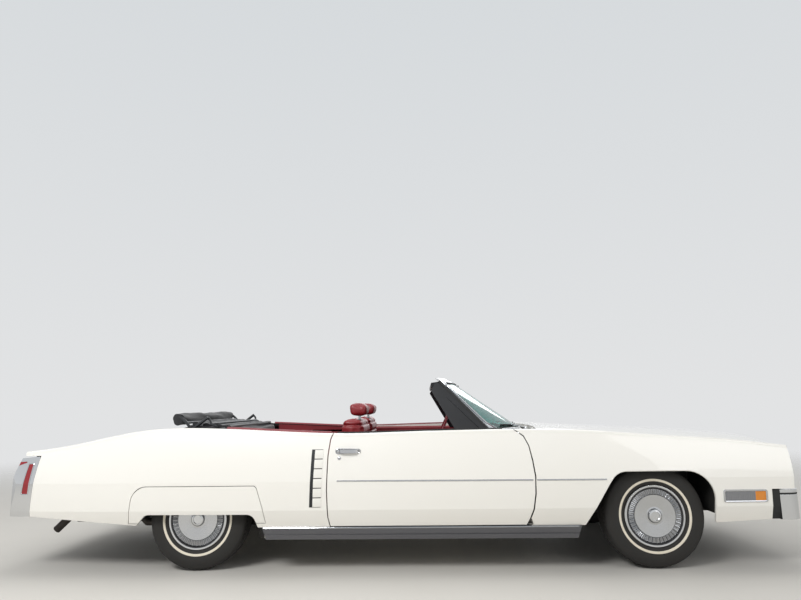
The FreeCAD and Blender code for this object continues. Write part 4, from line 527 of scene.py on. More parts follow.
class Shape:
    """Faces gathered for one piece of one finish, in metres."""

    def __init__(self) -> None:
        """Starts with nothing."""
        self.verts: list[Place] = []
        self.faces: list[tuple] = []

    def add(self, verts: Sequence[Place], faces: Sequence[tuple]) -> "Shape":
        """Adds vertices and faces and returns the shape."""
        base = len(self.verts)
        self.verts.extend(verts)
        self.faces.extend(tuple(base + i for i in face) for face in faces)
        return self

    def loft(self, rings: Sequence[Sequence[Place]]) -> "Shape":
        """Skins rings into a solid with filled ends and returns the shape."""
        return self.add(*blend_rings(rings, False, True))

    def block(self, low: Place, high: Place, edge: float = 0.0, steps: int = 2) -> "Shape":
        """Adds a box between two corners with its edges rounded.

        Args:
            low: lowest corner.
            high: highest corner.
            edge: rounding radius.
            steps: faces across a rounding.
        Returns:
            The shape.
        """
        bm = bmesh.new()
        bmesh.ops.create_cube(bm, size=1.0)
        for v in bm.verts:
            v.co = Vector([low[i] + (high[i] - low[i]) * (v.co[i] + 0.5) for i in range(3)])
        if edge:
            bmesh.ops.bevel(bm, geom=list(bm.edges), offset=edge, segments=steps, profile=0.5, affect="EDGES")
        bm.verts.index_update()
        self.add([tuple(v.co) for v in bm.verts], [tuple(v.index for v in f.verts) for f in bm.faces])
        bm.free()
        return self

    def slab(self, x: Flat, y: float, half: float, z: Flat, edge: float = 0.0, steps: int = 2) -> "Shape":
        """Adds a rounded box whose width is given by its middle and its half."""
        return self.block((x[0], y - half, z[0]), (x[1], y + half, z[1]), edge, steps)

    def lathe(self, profile: Sequence[Flat], centre: Place, axis: Place, turns: int = 64,
              closed: bool = False) -> "Shape":
        """Turns a profile about a line.

        Args:
            profile: points as (radius, distance along the axis).
            centre: a point on the line.
            axis: the line's direction.
            turns: faces round the line.
            closed: whether the profile is a loop, which makes a ring.
        Returns:
            The shape.
        """
        line = Vector(axis).normalized()
        side = line.orthogonal().normalized()
        other = line.cross(side)
        rings = []
        for i in range(turns):
            angle = 2 * math.pi * i / turns
            out = side * math.cos(angle) + other * math.sin(angle)
            rings.append([tuple(Vector(centre) + out * r + line * h) for r, h in profile])
        return self.add(*blend_rings(rings, True, False, closed))

    def sweep(self, path: Sequence[Place], section: Sequence[Flat], up: Place,
              closed: bool = False) -> "Shape":
        """Runs a section along a path.

        Args:
            path: the path's points.
            section: the section's points as (across, up).
            up: the direction that the section's up follows.
            closed: whether the path is a loop.
        Returns:
            The shape.
        """
        points = [Vector(p) for p in path]
        rings = []
        for i, here in enumerate(points):
            before = points[i - 1] if i or closed else here
            after = points[(i + 1) % len(points)] if closed or i < len(points) - 1 else here
            along = (after - before).normalized()
            across = along.cross(Vector(up)).normalized()
            rise = across.cross(along).normalized()
            rings.append([tuple(here + across * a + rise * b) for a, b in section])
        return self.add(*blend_rings(rings, closed, True))

    def tube(self, path: Sequence[Place], radius: float, up: Place = (0, 0, 1), closed: bool = False,
             sides: int = 10) -> "Shape":
        """Adds a round bar along a path."""
        return self.sweep(path, oval(radius, radius, sides), up, closed)

    def piece(self, name: str, finish: Finish, body: str = "car_body", stands_for: Sequence[str] = (),
              crease: float = 38.0) -> bpy.types.Object:
        """Makes the Blender object, rides it on its body and logs it.

        Args:
            name: the piece's name.
            finish: its finish.
            body: the body that it moves with.
            stands_for: CAD nodes that it replaces.
            crease: edges sharper than this many degrees stay sharp.
        Returns:
            The object.
        """
        mesh = bpy.data.meshes.new(name)
        mesh.from_pydata(self.verts, [], self.faces)
        bm = bmesh.new()
        bm.from_mesh(mesh)
        bmesh.ops.remove_doubles(bm, verts=bm.verts, dist=1e-6)
        bmesh.ops.recalc_face_normals(bm, faces=bm.faces)
        bm.to_mesh(mesh)
        bm.free()
        return settle(name, mesh, finish, body, stands_for, crease)


def settle(name: str, mesh: bpy.types.Mesh, finish: Finish, body: str, stands_for: Sequence[str] = (),
           crease: float = 38.0) -> bpy.types.Object:
    """Links a finished mesh as a piece of the car.

    Args:
        name: the piece's name.
        mesh: its mesh, in the car's frame.
        finish: its finish.
        body: the body that it moves with.
        stands_for: CAD nodes that it replaces.
        crease: edges sharper than this many degrees stay sharp.
    Returns:
        The object.
    """
    made = bpy.data.objects.new(name, mesh)
    bpy.context.scene.collection.objects.link(made)
    mesh.materials.clear()
    mesh.materials.append(finish.material())
    mesh.shade_smooth()
    mesh.set_sharp_from_angle(angle=math.radians(crease))
    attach(made, body)
    if stands_for:
        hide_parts(*stands_for)
    log.info("%s: %d faces on %s", name, len(mesh.polygons), body)
    return made


def dress(finish: Finish, *names: str) -> None:
    """Gives CAD nodes a finish.

    Args:
        finish: the finish.
        names: the nodes.
    """
    for name in names:
        for slot in NODES[name].material_slots:
            slot.material = finish.material()
        log.info("%s: %s", name, finish.name)


@dataclass
class SideSurface:
    """Finds the outer face of the body's side panels."""

    reach: float = 1.3
    inner_limit: float = 0.7
    missing: float = 1.0

    def y(self, node: str, x: float, z: float, side: int) -> float:
        """Half width of a panel at a place seen from the side.

        Args:
            node: the panel's node.
            x: place along the car.
            z: height.
            side: +1 for the left side, -1 for the right.
        Returns:
            Distance of the outer face from the middle plane.
        """
        for shift in (0.0, 0.004, -0.004, 0.008, -0.008, 0.014, -0.014, 0.02, -0.02):
            start = Vector((x + shift, side * self.reach, z))
            hit, spot, _, _ = NODES[node].ray_cast(start, Vector((0, -side, 0)))
            if hit and abs(spot.y) > self.inner_limit:
                return abs(spot.y)
        return self.missing


SIDES = ((1, "left"), (-1, "right"))
UP = (0, 0, 1)
SIDE_LENS_CORNERS = ((-2.630, 0.749), (-2.670, 0.749), (-2.696, 0.538), (-2.644, 0.538))


@dataclass
class Coachwork:
    """Painted panels and the trim on them."""

    moulding_z: float = 0.614
    moulding_fall: float = 0.004
    moulding_half: float = 0.005
    moulding_proud: float = 0.004
    sill_x: Flat = (-0.930, 1.250)
    sill_yz: Flat = (0.9725, 0.2985)
    handle_x: Flat = (-0.422, -0.251)
    handle_z: Flat = (0.798, 0.832)
    lock_place: Flat = (-0.398, 0.768)
    vent_x: float = -0.565
    vent_z: Flat = (0.440, 0.829)
    vent_lean: float = 0.012
    vent_count: int = 6
    lamp_x: Flat = (2.241, 2.529)
    lamp_z: Flat = (0.452, 0.525)
    axle_x: float = 1.789
    cowl_x: float = 1.0795
    cowl_bow: float = 0.108
    surface: SideSurface = field(default_factory=SideSurface)

    def paint(self) -> None:
        """Gives the panels and lamps their finishes."""
        dress(COATED_PAINT, "fenders", "quarters", "skirts")
        dress(PAINT, "rear_deck", "hood", "trunk_lid", "door_left", "door_right", "cowl_panel")
        dress(UNDERCOAT, "front_structure", "rear_structure")
        dress(ROCKER, "rocker_trim")
        dress(CLEAR_LENS, "side_lamps_clear")
        dress(AMBER_LENS, "side_lamps_amber")
        dress(CHROME, "door_mirror")

    def mouldings(self) -> None:
        """Pin mouldings along the doors and fenders."""
        half, proud = self.moulding_half, self.moulding_proud
        section = [(-half, -0.003), (-half, proud * 0.5), (-half * 0.45, proud),
                   (half * 0.45, proud), (half, proud * 0.5), (half, -0.003)]
        for side, word in SIDES:
            door = "door_" + word
            for kind, node, body, x0, x1 in (("door", door, door, -0.412, 0.948),
                                             ("fender", "fenders", "car_body", 0.974, 1.451)):
                path = []
                for x in span(x0, x1, 24):
                    z = self.moulding_z - self.moulding_fall * x
                    path.append((x, side * self.surface.y(node, x, z, side), z))
                shape = Shape().sweep(path, section, (0, side, 0))
                shape.piece(f"pin_moulding_{kind}_{word}", TRIM_CHROME, body)

    def sill_mouldings(self) -> None:
        """Bright strip on top of each rocker panel."""
        y, z = self.sill_yz
        for side, word in SIDES:
            path = [(x, side * y, z) for x in span(*self.sill_x, 30)]
            shape = Shape().sweep(path, ridge(0.0045, -0.004, 0.002, 0.0045), (0, side, 0))
            shape.piece(f"sill_moulding_{word}", TRIM_CHROME)

    def handles(self) -> None:
        """Door handles with their push buttons and locks."""
        (x0, x1), (z0, z1) = self.handle_x, self.handle_z
        zm = (z0 + z1) / 2
        lock_x, lock_z = self.lock_place
        loop = corner_path([(x0, z0, 0.012), (x1, z0 + 0.006, 0.01), (x1, z1 - 0.006, 0.01), (x0, z1, 0.012)])
        grip = ((x0 + 0.02, 0.004), (x0 + 0.034, 0.026), (x0 + 0.09, 0.03), (x1 - 0.03, 0.026),
                (x1 - 0.014, 0.004))
        for side, word in SIDES:
            door, out = "door_" + word, (0, side, 0)
            y = self.surface.y(door, (x0 + x1) / 2, zm, side)
            lock_y = self.surface.y(door, lock_x, lock_z, side)
            shape = Shape().tube([(x, side * (y + 0.006), z) for x, z in loop], 0.0045, out, True, 8)
            shape.sweep([(x, side * (y + rise), zm) for x, rise in grip], flat_bar(0.012, 0.003), out)
            shape.lathe([(0.0, 0.016), (0.009, 0.015), (0.011, 0.012), (0.012, -0.01)],
                        (x0 + 0.016, side * y, zm), out, 24)
            shape.lathe([(0.0, 0.004), (0.007, 0.004), (0.0085, 0.006), (0.0125, 0.004), (0.013, -0.006)],
                        (lock_x, side * lock_y, lock_z), out, 24)
            shape.piece(f"door_handle_{word}", TRIM_CHROME, door)
            back = Shape().slab((x0 + 0.006, x1 - 0.006), side * y, 0.003, (z0 + 0.004, z1 - 0.004), 0.002)
            back.piece(f"door_handle_shadow_{word}", INNER_PAINT, door)

    def vent_ring(self, z: float, side: int, section: Sequence[Flat]) -> list[Place]:
        """Level section of the louvres.

        Args:
            z: its height.
            side: +1 for the left side, -1 for the right.
            section: points as (distance forward, distance out of the quarter's face).
        Returns:
            The ring.
        """
        low, high = self.vent_z
        lean = self.vent_lean * (z - low) / (high - low)
        places = [(self.vent_x + lean + dx, rise) for dx, rise in section]
        return [(x, side * (self.wall(x, z, side) + rise), z) for x, rise in places]

    def vents(self) -> None:
        """Louvres on each quarter: a black strip that paints the shade in their open ends and shows as thin
        dark gaps, and raised painted fins.
        """
        z0, z1 = self.vent_z
        pitch = (z1 - z0) / self.vent_count
        slot = ((-0.040, -0.004), (-0.040, 0.0016), (0.040, 0.0012), (0.040, -0.004))
        for side, word in SIDES:
            # Painted shade: a black strip under the fins stands for the shade inside the louvres' openings
            rings = [self.vent_ring(z, side, slot) for z in span(z0, z1, 24)]
            Shape().loft(rings).piece(f"vent_shade_strip_{word}", BLACK_PLASTIC)
            fins = Shape()
            for i in range(self.vent_count):
                rings = []
                for k, z in enumerate(span(z0 + pitch * i + 0.0030, z0 + pitch * (i + 1) - 0.0030, 6)):
                    crown = 0.0035 * math.sin(math.pi * k / 6)
                    rings.append(self.vent_ring(z, side, (
                        (-0.016, -0.002), (-0.016, 0.0075 + crown), (0.010, 0.0055 + crown),
                        (0.044, 0.0014), (0.044, -0.002))))
                fins.loft(rings)
            fins.piece(f"vent_fins_{word}", PAINT)

    def wall(self, x: float, z: float, side: int) -> float:
        """Half width of the quarter beside the vents, read behind and ahead of them."""
        back = self.surface.y("quarters", self.vent_x - 0.060, z, side)
        front = self.surface.y("quarters", self.vent_x + 0.062, z, side)
        return back + (front - back) * (x - self.vent_x + 0.060) / 0.122

    def lamp_bezels(self) -> None:
        """Bright rims round the side lamps."""
        (x0, x1), (z0, z1) = self.lamp_x, self.lamp_z
        section = [(-0.006, -0.004), (-0.006, 0.002), (-0.002, 0.005), (0.003, 0.005), (0.006, 0.001),
                   (0.006, -0.004)]
        for side, word in SIDES:
            points = []
            for x, z in rounded_box(x0, z0, x1, z1, 0.01):
                beside = x + (0.012 if x > (x0 + x1) / 2 else -0.012)
                points.append((x, side * (self.surface.y("fenders", beside, z, side) + 0.001), z))
            Shape().sweep(points, section, (0, side, 0), True).piece(f"side_lamp_rim_{word}", TRIM_CHROME)

    def arch_edges(self) -> None:
        """Rolled edges of the front wheel openings."""
        axle = self.axle_x
        outline = corner_path([(axle - 0.500, 0.303, 0.0), (axle - 0.266, 0.661, 0.130),
                               (axle + 0.396, 0.661, 0.190), (axle + 0.4, 0.315, 0.0)], 10, False)
        for side, word in SIDES:
            points = []
            for x, z in outline:
                out = Vector((x - axle, z - 0.35)).normalized() * 0.012
                y = self.surface.y("fenders", x + out.x, z + max(out.y, 0.002), side)
                points.append((x, side * (y - 0.006), z))
            shape = Shape().sweep(points, ridge(0.004, -0.012, 0.005, 0.0075), (0, side, 0))
            shape.piece(f"arch_edge_{word}", PAINT)

    def cowl_details(self) -> None:
        """Rubber seal behind the hood and the air slots in the cowl."""
        seal = [(self.cowl_x - self.cowl_bow * y * y, y, 0.906) for y in span(-0.622, 0.622, 40)]
        Shape().sweep(seal, ridge(0.0065, -0.006, 0.003, 0.007), UP).piece("hood_rear_seal", RUBBER)
        slots = Shape()
        for side, _ in SIDES:
            for i in range(16):
                y = side * (0.400 + 0.016 * i)
                x = 1.020 - self.cowl_bow * y * y
                slots.slab((x - 0.022, x + 0.022), y, 0.0035, (0.9115, 0.9130), 0.0006)
        slots.piece("cowl_air_slots", BLACK_PLASTIC)

    def shut_line_fillers(self) -> None:
        """Black rubber plugs at the foot of each front door gap: painted shade that makes the gap read as one
        dark line over a pale sliver.
        """
        for side, word in SIDES:
            plug = Shape().slab((0.896, 0.914), side * 0.9635, 0.0015, (0.3005, 0.316), 0.001)
            plug.piece(f"door_gap_shade_plug_{word}", RUBBER)

    def build(self) -> None:
        """Builds everything on the painted body."""
        for step in (self.paint, self.mouldings, self.sill_mouldings, self.handles, self.vents,
                     self.lamp_bezels, self.arch_edges, self.cowl_details, self.shut_line_fillers):
            step()


@dataclass
class Windscreen:
    """Swept screen with its strips, seals, wipers, visors and cabin mirror."""

    low: tuple[float, float, float, float] = (0.9123, 1.050, 0.722, 0.765)
    top: tuple[float, float, float, float] = (1.334, 0.432, 0.318, 0.604)
    window: tuple = ((-0.716, 0.952, 0.040), (0.716, 0.952, 0.040),
                     (0.566, 1.292, 0.055), (-0.566, 1.292, 0.055))
    middle_z: float = 1.1
    forward: Place = (1, 0, 0.7)

    def ring(self, arc: tuple[float, float, float, float], share: float, out: float) -> Vector:
        """A point on one of the two arcs.

        Args:
            arc: height, x in the middle, x at the side and half width.
            share: place along the arc, from -1 to 1.
            out: distance forward of the arc.
        Returns:
            The point.
        """
        z, mid, side, half = arc
        sag = mid - side
        radius = (half ** 2 + sag ** 2) / (2 * sag)
        centre = mid - radius
        angle = math.atan2(half, side - centre) * share
        return Vector((centre + (radius + out) * math.cos(angle), (radius + out) * math.sin(angle), z))

    def at(self, y: float, z: float, out: float = 0.0) -> Place:
        """The screen's outer face at a width and height.

        Args:
            y: place across the car.
            z: height.
            out: distance forward of the face.
        Returns:
            The point.
        """
        rise = (z - self.low[0]) / (self.top[0] - self.low[0])
        low, high = -1.3, 1.3
        for _ in range(30):
            share = (low + high) / 2
            spot = self.ring(self.low, share, out).lerp(self.ring(self.top, share, out), rise)
            if spot.y < y:
                low = share
            else:
                high = share
        return tuple(spot)

    def outline(self, margin: float, out: float) -> list[Place]:
        """A loop round the window, margin outside its edge."""
        grown = [(y + math.copysign(margin, y), z + math.copysign(margin, z - self.middle_z), radius + margin)
                 for y, z, radius in self.window]
        return [self.at(y, z, out) for y, z in dense_loop(corner_path(grown, 8), 0.05)]

    def build(self) -> None:
        """Builds the screen's pieces."""
        dress(CHROME, "windshield_frame")
        dress(TINTED_GLASS, "windshield_glass")
        dress(BLACK_PLASTIC, "screen_pillars")
        section = ridge(0.007, -0.006, 0.002, 0.004)
        Shape().sweep(self.outline(-0.004, 0.0), section, self.forward, True).piece("screen_seal", RUBBER)
        section = [(-0.009, -0.004), (-0.009, 0.002), (-0.004, 0.005), (0.004, 0.005), (0.009, 0.002),
                   (0.009, -0.004)]
        strip = Shape().sweep(self.outline(0.014, 0.001), section, self.forward, True)
        strip.piece("screen_reveal_strip", TRIM_CHROME)
        for side, word in SIDES:
            edge = []
            for t in span(0.0, 1.0, 12):
                foot, head = self.ring(self.low, side, -0.012), self.ring(self.top, side, -0.012)
                spot = foot.lerp(head, 0.02 + 0.93 * t)
                edge.append((spot.x, spot.y + side * 0.002, spot.z))
            seal = Shape().sweep(edge, flat_bar(0.010, 0.003), (0, side, 0))
            seal.piece(f"screen_side_seal_{word}", RUBBER)
        for side, word in SIDES:
            line = [(x, side * (0.757 - 0.3818 * (z - 0.912) + 0.001), z)
                    for x, z in zip(span(0.380, 0.642, 8), span(1.186, 0.930, 8))]
            bead = Shape().sweep(line, ridge(0.0035, -0.002, 0.002, 0.004), (0, side, 0))
            bead.piece(f"pillar_bead_{word}", IRON)
        self.wipers()
        self.visors()
        self.mirror()

    def wipers(self) -> None:
        """Two wiper arms at rest along the foot of the glass."""
        arms, blades = Shape(), Shape()
        for pivot, tip in ((-0.20, -0.60), (0.42, 0.02)):
            foot_x = self.at(pivot, 0.93, 0.03)[0] + 0.01
            middle = (pivot + tip) / 2
            arms.lathe([(0.0, 0.03), (0.010, 0.028), (0.013, 0.02), (0.014, 0.0)], (foot_x, pivot, 0.912),
                       UP, 20)
            arm = [(foot_x, pivot, 0.934), self.at(pivot * 0.7 + middle * 0.3, 0.955, 0.024),
                   self.at(middle, 0.972, 0.014)]
            arms.sweep(arm, flat_bar(0.006, 0.002), self.forward)
            line = [self.at(tip + (pivot - tip) * t, 0.966 + 0.010 * abs(t - 0.5), 0.007)
                    for t in span(0.0, 1.0, 10)]
            blades.sweep(line, flat_bar(0.004, 0.004), self.forward)
        arms.piece("wiper_arms", TRIM_CHROME)
        blades.piece("wiper_blades", RUBBER)

    def visors(self) -> None:
        """Two sun visors."""
        section = corner_path([(-0.006, 0.0, 0.004), (0.008, 0.0, 0.004), (0.010, -0.115, 0.008),
                               (-0.008, -0.115, 0.008)], 4)
        for side, word in SIDES:
            rings = []
            for reach in span(0.09, 0.49, 12):
                y = side * reach
                x, _, z = self.at(y, 1.286, -0.055)
                rings.append([(x + a * 0.8 - b * 0.75, y, z + b * 0.55 + a * 0.3) for a, b in section])
            Shape().loft(rings).piece(f"sun_visor_{word}", RED_VINYL)

    def mirror(self) -> None:
        """Cabin mirror and the header's latches."""
        x, _, z = self.at(0.0, 1.235, -0.075)
        mirror = Shape().slab((x - 0.008, x + 0.012), 0.0, 0.115, (z - 0.03, z + 0.03), 0.007, 3)
        mirror.tube([(x + 0.005, 0, z + 0.02), (x + 0.004, 0, z + 0.058)], 0.006)
        mirror.piece("cabin_mirror", BLACK_PLASTIC)
        glass = Shape().slab((x - 0.010, x - 0.0075), 0.0, 0.108, (z - 0.024, z + 0.024), 0.001)
        glass.piece("cabin_mirror_glass", MIRROR)
        latches = Shape()
        for side, _ in SIDES:
            x, y, z = self.at(side * 0.36, 1.296, -0.05)
            latches.slab((x - 0.045, x + 0.01), y, 0.012, (z - 0.012, z + 0.004), 0.004)
        latches.piece("header_latches", TRIM_CHROME)


@dataclass
class NoseAndTail:
    """Bumpers, grille, lamps and plates."""

    bar_x: float = 2.813
    bar_half: float = 0.963
    groove_z: float = 0.498
    lamp_ys: Flat = (0.650, 0.828)
    lamp_z: float = 0.668
    lamp_x: float = 2.735
    grille_x: float = 2.725
    rear_bar_x: float = -2.825
    guard_y: float = 0.36
    panel_half: float = 0.792
    bolt_y: float = 0.0889

    def finishes(self) -> None:
        """Gives the bumpers, grille and lamps their finishes."""
        dress(CHROME, "front_bumper", "rear_bumper")
        dress(TRIM_CHROME, "grille", "lamp_panels")
        dress(RUBBER, "bumper_fillers")
        dress(RED_LENS, "tail_lamps")

    def front_strips(self) -> None:
        """Black strips in the front bumper's groove and on its guards."""
        face = self.bar_x - 0.004
        half = corner_path([(2.626, self.bar_half - 0.004, 0.0), (face - 0.044, self.bar_half - 0.011, 0.082),
                            (face, 0.558, 0.196), (face, 0.0, 0.0)], 8, False)
        path = [(x, y, self.groove_z) for x, y in half + [(x, -y) for x, y in reversed(half[:-1])]]
        section = [(-0.003, -0.0055), (-0.003, 0.0055), (0.001, 0.0055), (0.003, 0.003), (0.003, -0.003),
                   (0.001, -0.0055)]
        Shape().sweep(path, section, UP).piece("front_bumper_strip", RUBBER)
        tips = Shape()
        for side, _ in SIDES:
            tips.slab((2.822, 2.8365), side * 0.430, 0.020, (0.40, 0.56), 0.006, 3)
        tips.piece("front_guard_tips", RUBBER)

    def rear_strips(self) -> None:
        """Black strip along the rear bumper, and its bright guards with their tips."""
        x = self.rear_bar_x
        rear = Shape().slab((x - 0.0035, x + 0.010), 0.0, 0.796, (0.452, 0.470), 0.0015)
        rear.piece("rear_bumper_strip", RUBBER)
        guards, tips = Shape(), Shape()
        for side, _ in SIDES:
            guards.slab((-2.8320, -2.795), side * self.guard_y, 0.030, (0.400, 0.545), 0.010, 3)
            tips.slab((-2.8345, -2.825), side * self.guard_y, 0.014, (0.425, 0.525), 0.004, 3)
        guards.piece("rear_guards", CHROME)
        tips.piece("rear_guard_tips", RUBBER)

    def fine_grille(self) -> None:
        """Close bars behind the bright blades, and the dark duct behind them."""
        bars, x = Shape(), self.grille_x
        for y in span(-0.518, 0.518, 109):
            bars.slab((x + 0.001, x + 0.006), y, 0.0012, (0.562, 0.780 + 0.018 * (1 - abs(y) / 0.52)))
        for z in span(0.56, 0.782, 22)[1:-1]:
            bars.slab((x + 0.001, x + 0.004), 0.0, 0.522, (z - 0.001, z + 0.001))
        bars.piece("grille_fine_bars", BRUSHED)
        Shape().slab((x - 0.035, x - 0.030), 0.0, 0.535, (0.545, 0.80)).piece("grille_backing", BLACK_PLASTIC)

    def grille_header(self) -> None:
        """Bright header that closes the space between the grille and the hood's lip."""
        rings, foot = [], 0.8005
        back, front = self.grille_x - 0.014, self.grille_x - 0.001
        for y in span(-0.540, 0.540, 36):
            top = cast_height("hood", self.grille_x - 0.010, y, 0.815, 0.70, 1) - 0.007
            rings.append([(back, y, foot), (back, y, top), (front - 0.003, y, top), (front, y, top - 0.004),
                          (front, y, foot)])
        Shape().loft(rings).piece("grille_header", TRIM_CHROME)

    def headlamps(self) -> None:
        """Four sealed lamps, each a bowl with its bulb, a fluted lens and a bright rim."""
        bowl = [(0.071, 0.001), (0.066, -0.006), (0.052, -0.024), (0.032, -0.038), (0.014, -0.044),
                (0.0, -0.045)]
        bulb = [(0.0, -0.010), (0.010, -0.012), (0.012, -0.020), (0.010, -0.042)]
        sines = [math.sin(math.pi / 2 * i / 12) for i in range(13)]
        outer = [(0.0715 * s, 0.0155 - 0.0155 * (s ** 2) ** 1.3) for s in sines]
        lens = outer + [(r * 0.985, h - 0.0035) for r, h in reversed(outer)]
        rim = [(0.070, 0.0), (0.0695, 0.006), (0.073, 0.012), (0.080, 0.0135), (0.086, 0.010), (0.0875, 0.0)]
        bowls, lenses, rims = Shape(), Shape(), Shape()
        for side, _ in SIDES:
            for lamp_y in self.lamp_ys:
                centre, ahead = (self.lamp_x, side * lamp_y, self.lamp_z), (1, 0, 0)
                bowls.lathe(bowl, centre, ahead, 48).lathe(bulb, centre, ahead, 24)
                lenses.lathe(lens, centre, ahead, 48)
                rims.lathe(rim, centre, ahead, 56, True)
        for shape, name, finish in ((bowls, "bowls", REFLECTOR), (lenses, "lenses", LAMP_GLASS),
                                    (rims, "rims", CHROME)):
            shape.piece("headlamp_" + name, finish, "car_body", ("headlamps",))

    def plates(self) -> None:
        """Blank licence plates with their bolts."""
        for name, x, z, face, rows in (("front_plate", self.bar_x + 0.0025, 0.412, 1, (-0.060325, 0.060325)),
                                       ("rear_plate", self.rear_bar_x - 0.005, 0.530, -1, (-0.06,))):
            shape = Shape().slab((x - 0.0015, x + 0.0015), 0.0, 0.1525, (z - 0.076, z + 0.076), 0.001)
            loop = rounded_box(-0.147, z - 0.071, 0.147, z + 0.071, 0.012)
            shape.tube([(x + face * 0.001, y, h) for y, h in loop], 0.0016, (1, 0, 0), True, 6)
            shape.piece(name, PLATE)
            bolts = Shape()
            for y in (-self.bolt_y, self.bolt_y):
                for row in rows:
                    bolts.lathe([(0.0, 0.005), (0.004, 0.0045), (0.006, 0.002), (0.006, -0.001)],
                                (x, y, z + row), (face, 0, 0), 12)
            bolts.piece(name + "_bolts", TRIM_CHROME)

    def panel_x(self, z: float) -> float:
        """Place of the tail panel's face at a height."""
        return -2.725 + (z - 0.525) * 0.0694

    def tail_details(self) -> None:
        """Rear face trim: reversing lamps, mouldings, lid lock, the strip under the lid and plate straps."""
        rims, lenses, bright, straps = Shape(), Shape(), Shape(), Shape()
        lamp_x, lock_z = self.panel_x(0.625), 0.70
        for side, _ in SIDES:
            rims.slab((lamp_x - 0.006, lamp_x + 0.003), side * 0.660, 0.088, (0.588, 0.652), 0.004, 3)
            lenses.slab((lamp_x - 0.010, lamp_x), side * 0.660, 0.079, (0.596, 0.644), 0.004, 3)
        rims.piece("reversing_lamp_rims", TRIM_CHROME)
        lenses.piece("reversing_lamps", CLEAR_LENS)
        for z in (0.545, 0.752):
            x = self.panel_x(z)
            bright.slab((x - 0.005, x + 0.003), 0.0, self.panel_half, (z - 0.006, z + 0.006), 0.0025, 2)
        bright.piece("tail_panel_mouldings", TRIM_CHROME)
        lock = Shape().lathe([(0.0, 0.005), (0.009, 0.005), (0.011, 0.008), (0.017, 0.006), (0.018, -0.004)],
                             (self.panel_x(lock_z), 0.0, lock_z), (-1, 0, 0), 32)
        lock.piece("lid_lock", TRIM_CHROME)
        closing, back, front, foot = [], -2.7065, -2.6985, 0.760
        for y in span(-self.panel_half, self.panel_half, 32):
            top = 0.7775 + 0.020 * (y / 0.75) ** 2
            closing.append([(back, y, foot), (back, y, top), (front, y, top), (front, y, foot)])
        Shape().loft(closing).piece("lid_closing_strip", RUBBER)
        x = self.rear_bar_x
        for y in (-self.bolt_y, self.bolt_y):
            straps.slab((x - 0.0036, x - 0.0016), y, 0.012, (0.455, 0.598), 0.0008)
        straps.piece("rear_plate_straps", CHASSIS_BLACK)

    def side_lens_rims(self) -> None:
        """Bright rims round the red lenses in the sides of the rear caps."""
        surface = SideSurface()
        loop = dense_loop(corner_path([(x, z, 0.006) for x, z in SIDE_LENS_CORNERS], 4), 0.0117)
        for side, word in SIDES:
            points = [(x, side * (surface.y("rear_bumper", x, z, side) + 0.0005), z) for x, z in loop]
            rim = Shape().sweep(points, ridge(0.0035, -0.003, 0.0015, 0.0030), (0, side, 0), True)
            rim.piece(f"side_lens_rim_{word}", TRIM_CHROME)

    def build(self) -> None:
        """Builds the pieces of both ends."""
        for step in (self.finishes, self.front_strips, self.rear_strips, self.fine_grille, self.grille_header,
                     self.headlamps, self.plates, self.tail_details, self.side_lens_rims):
            step()


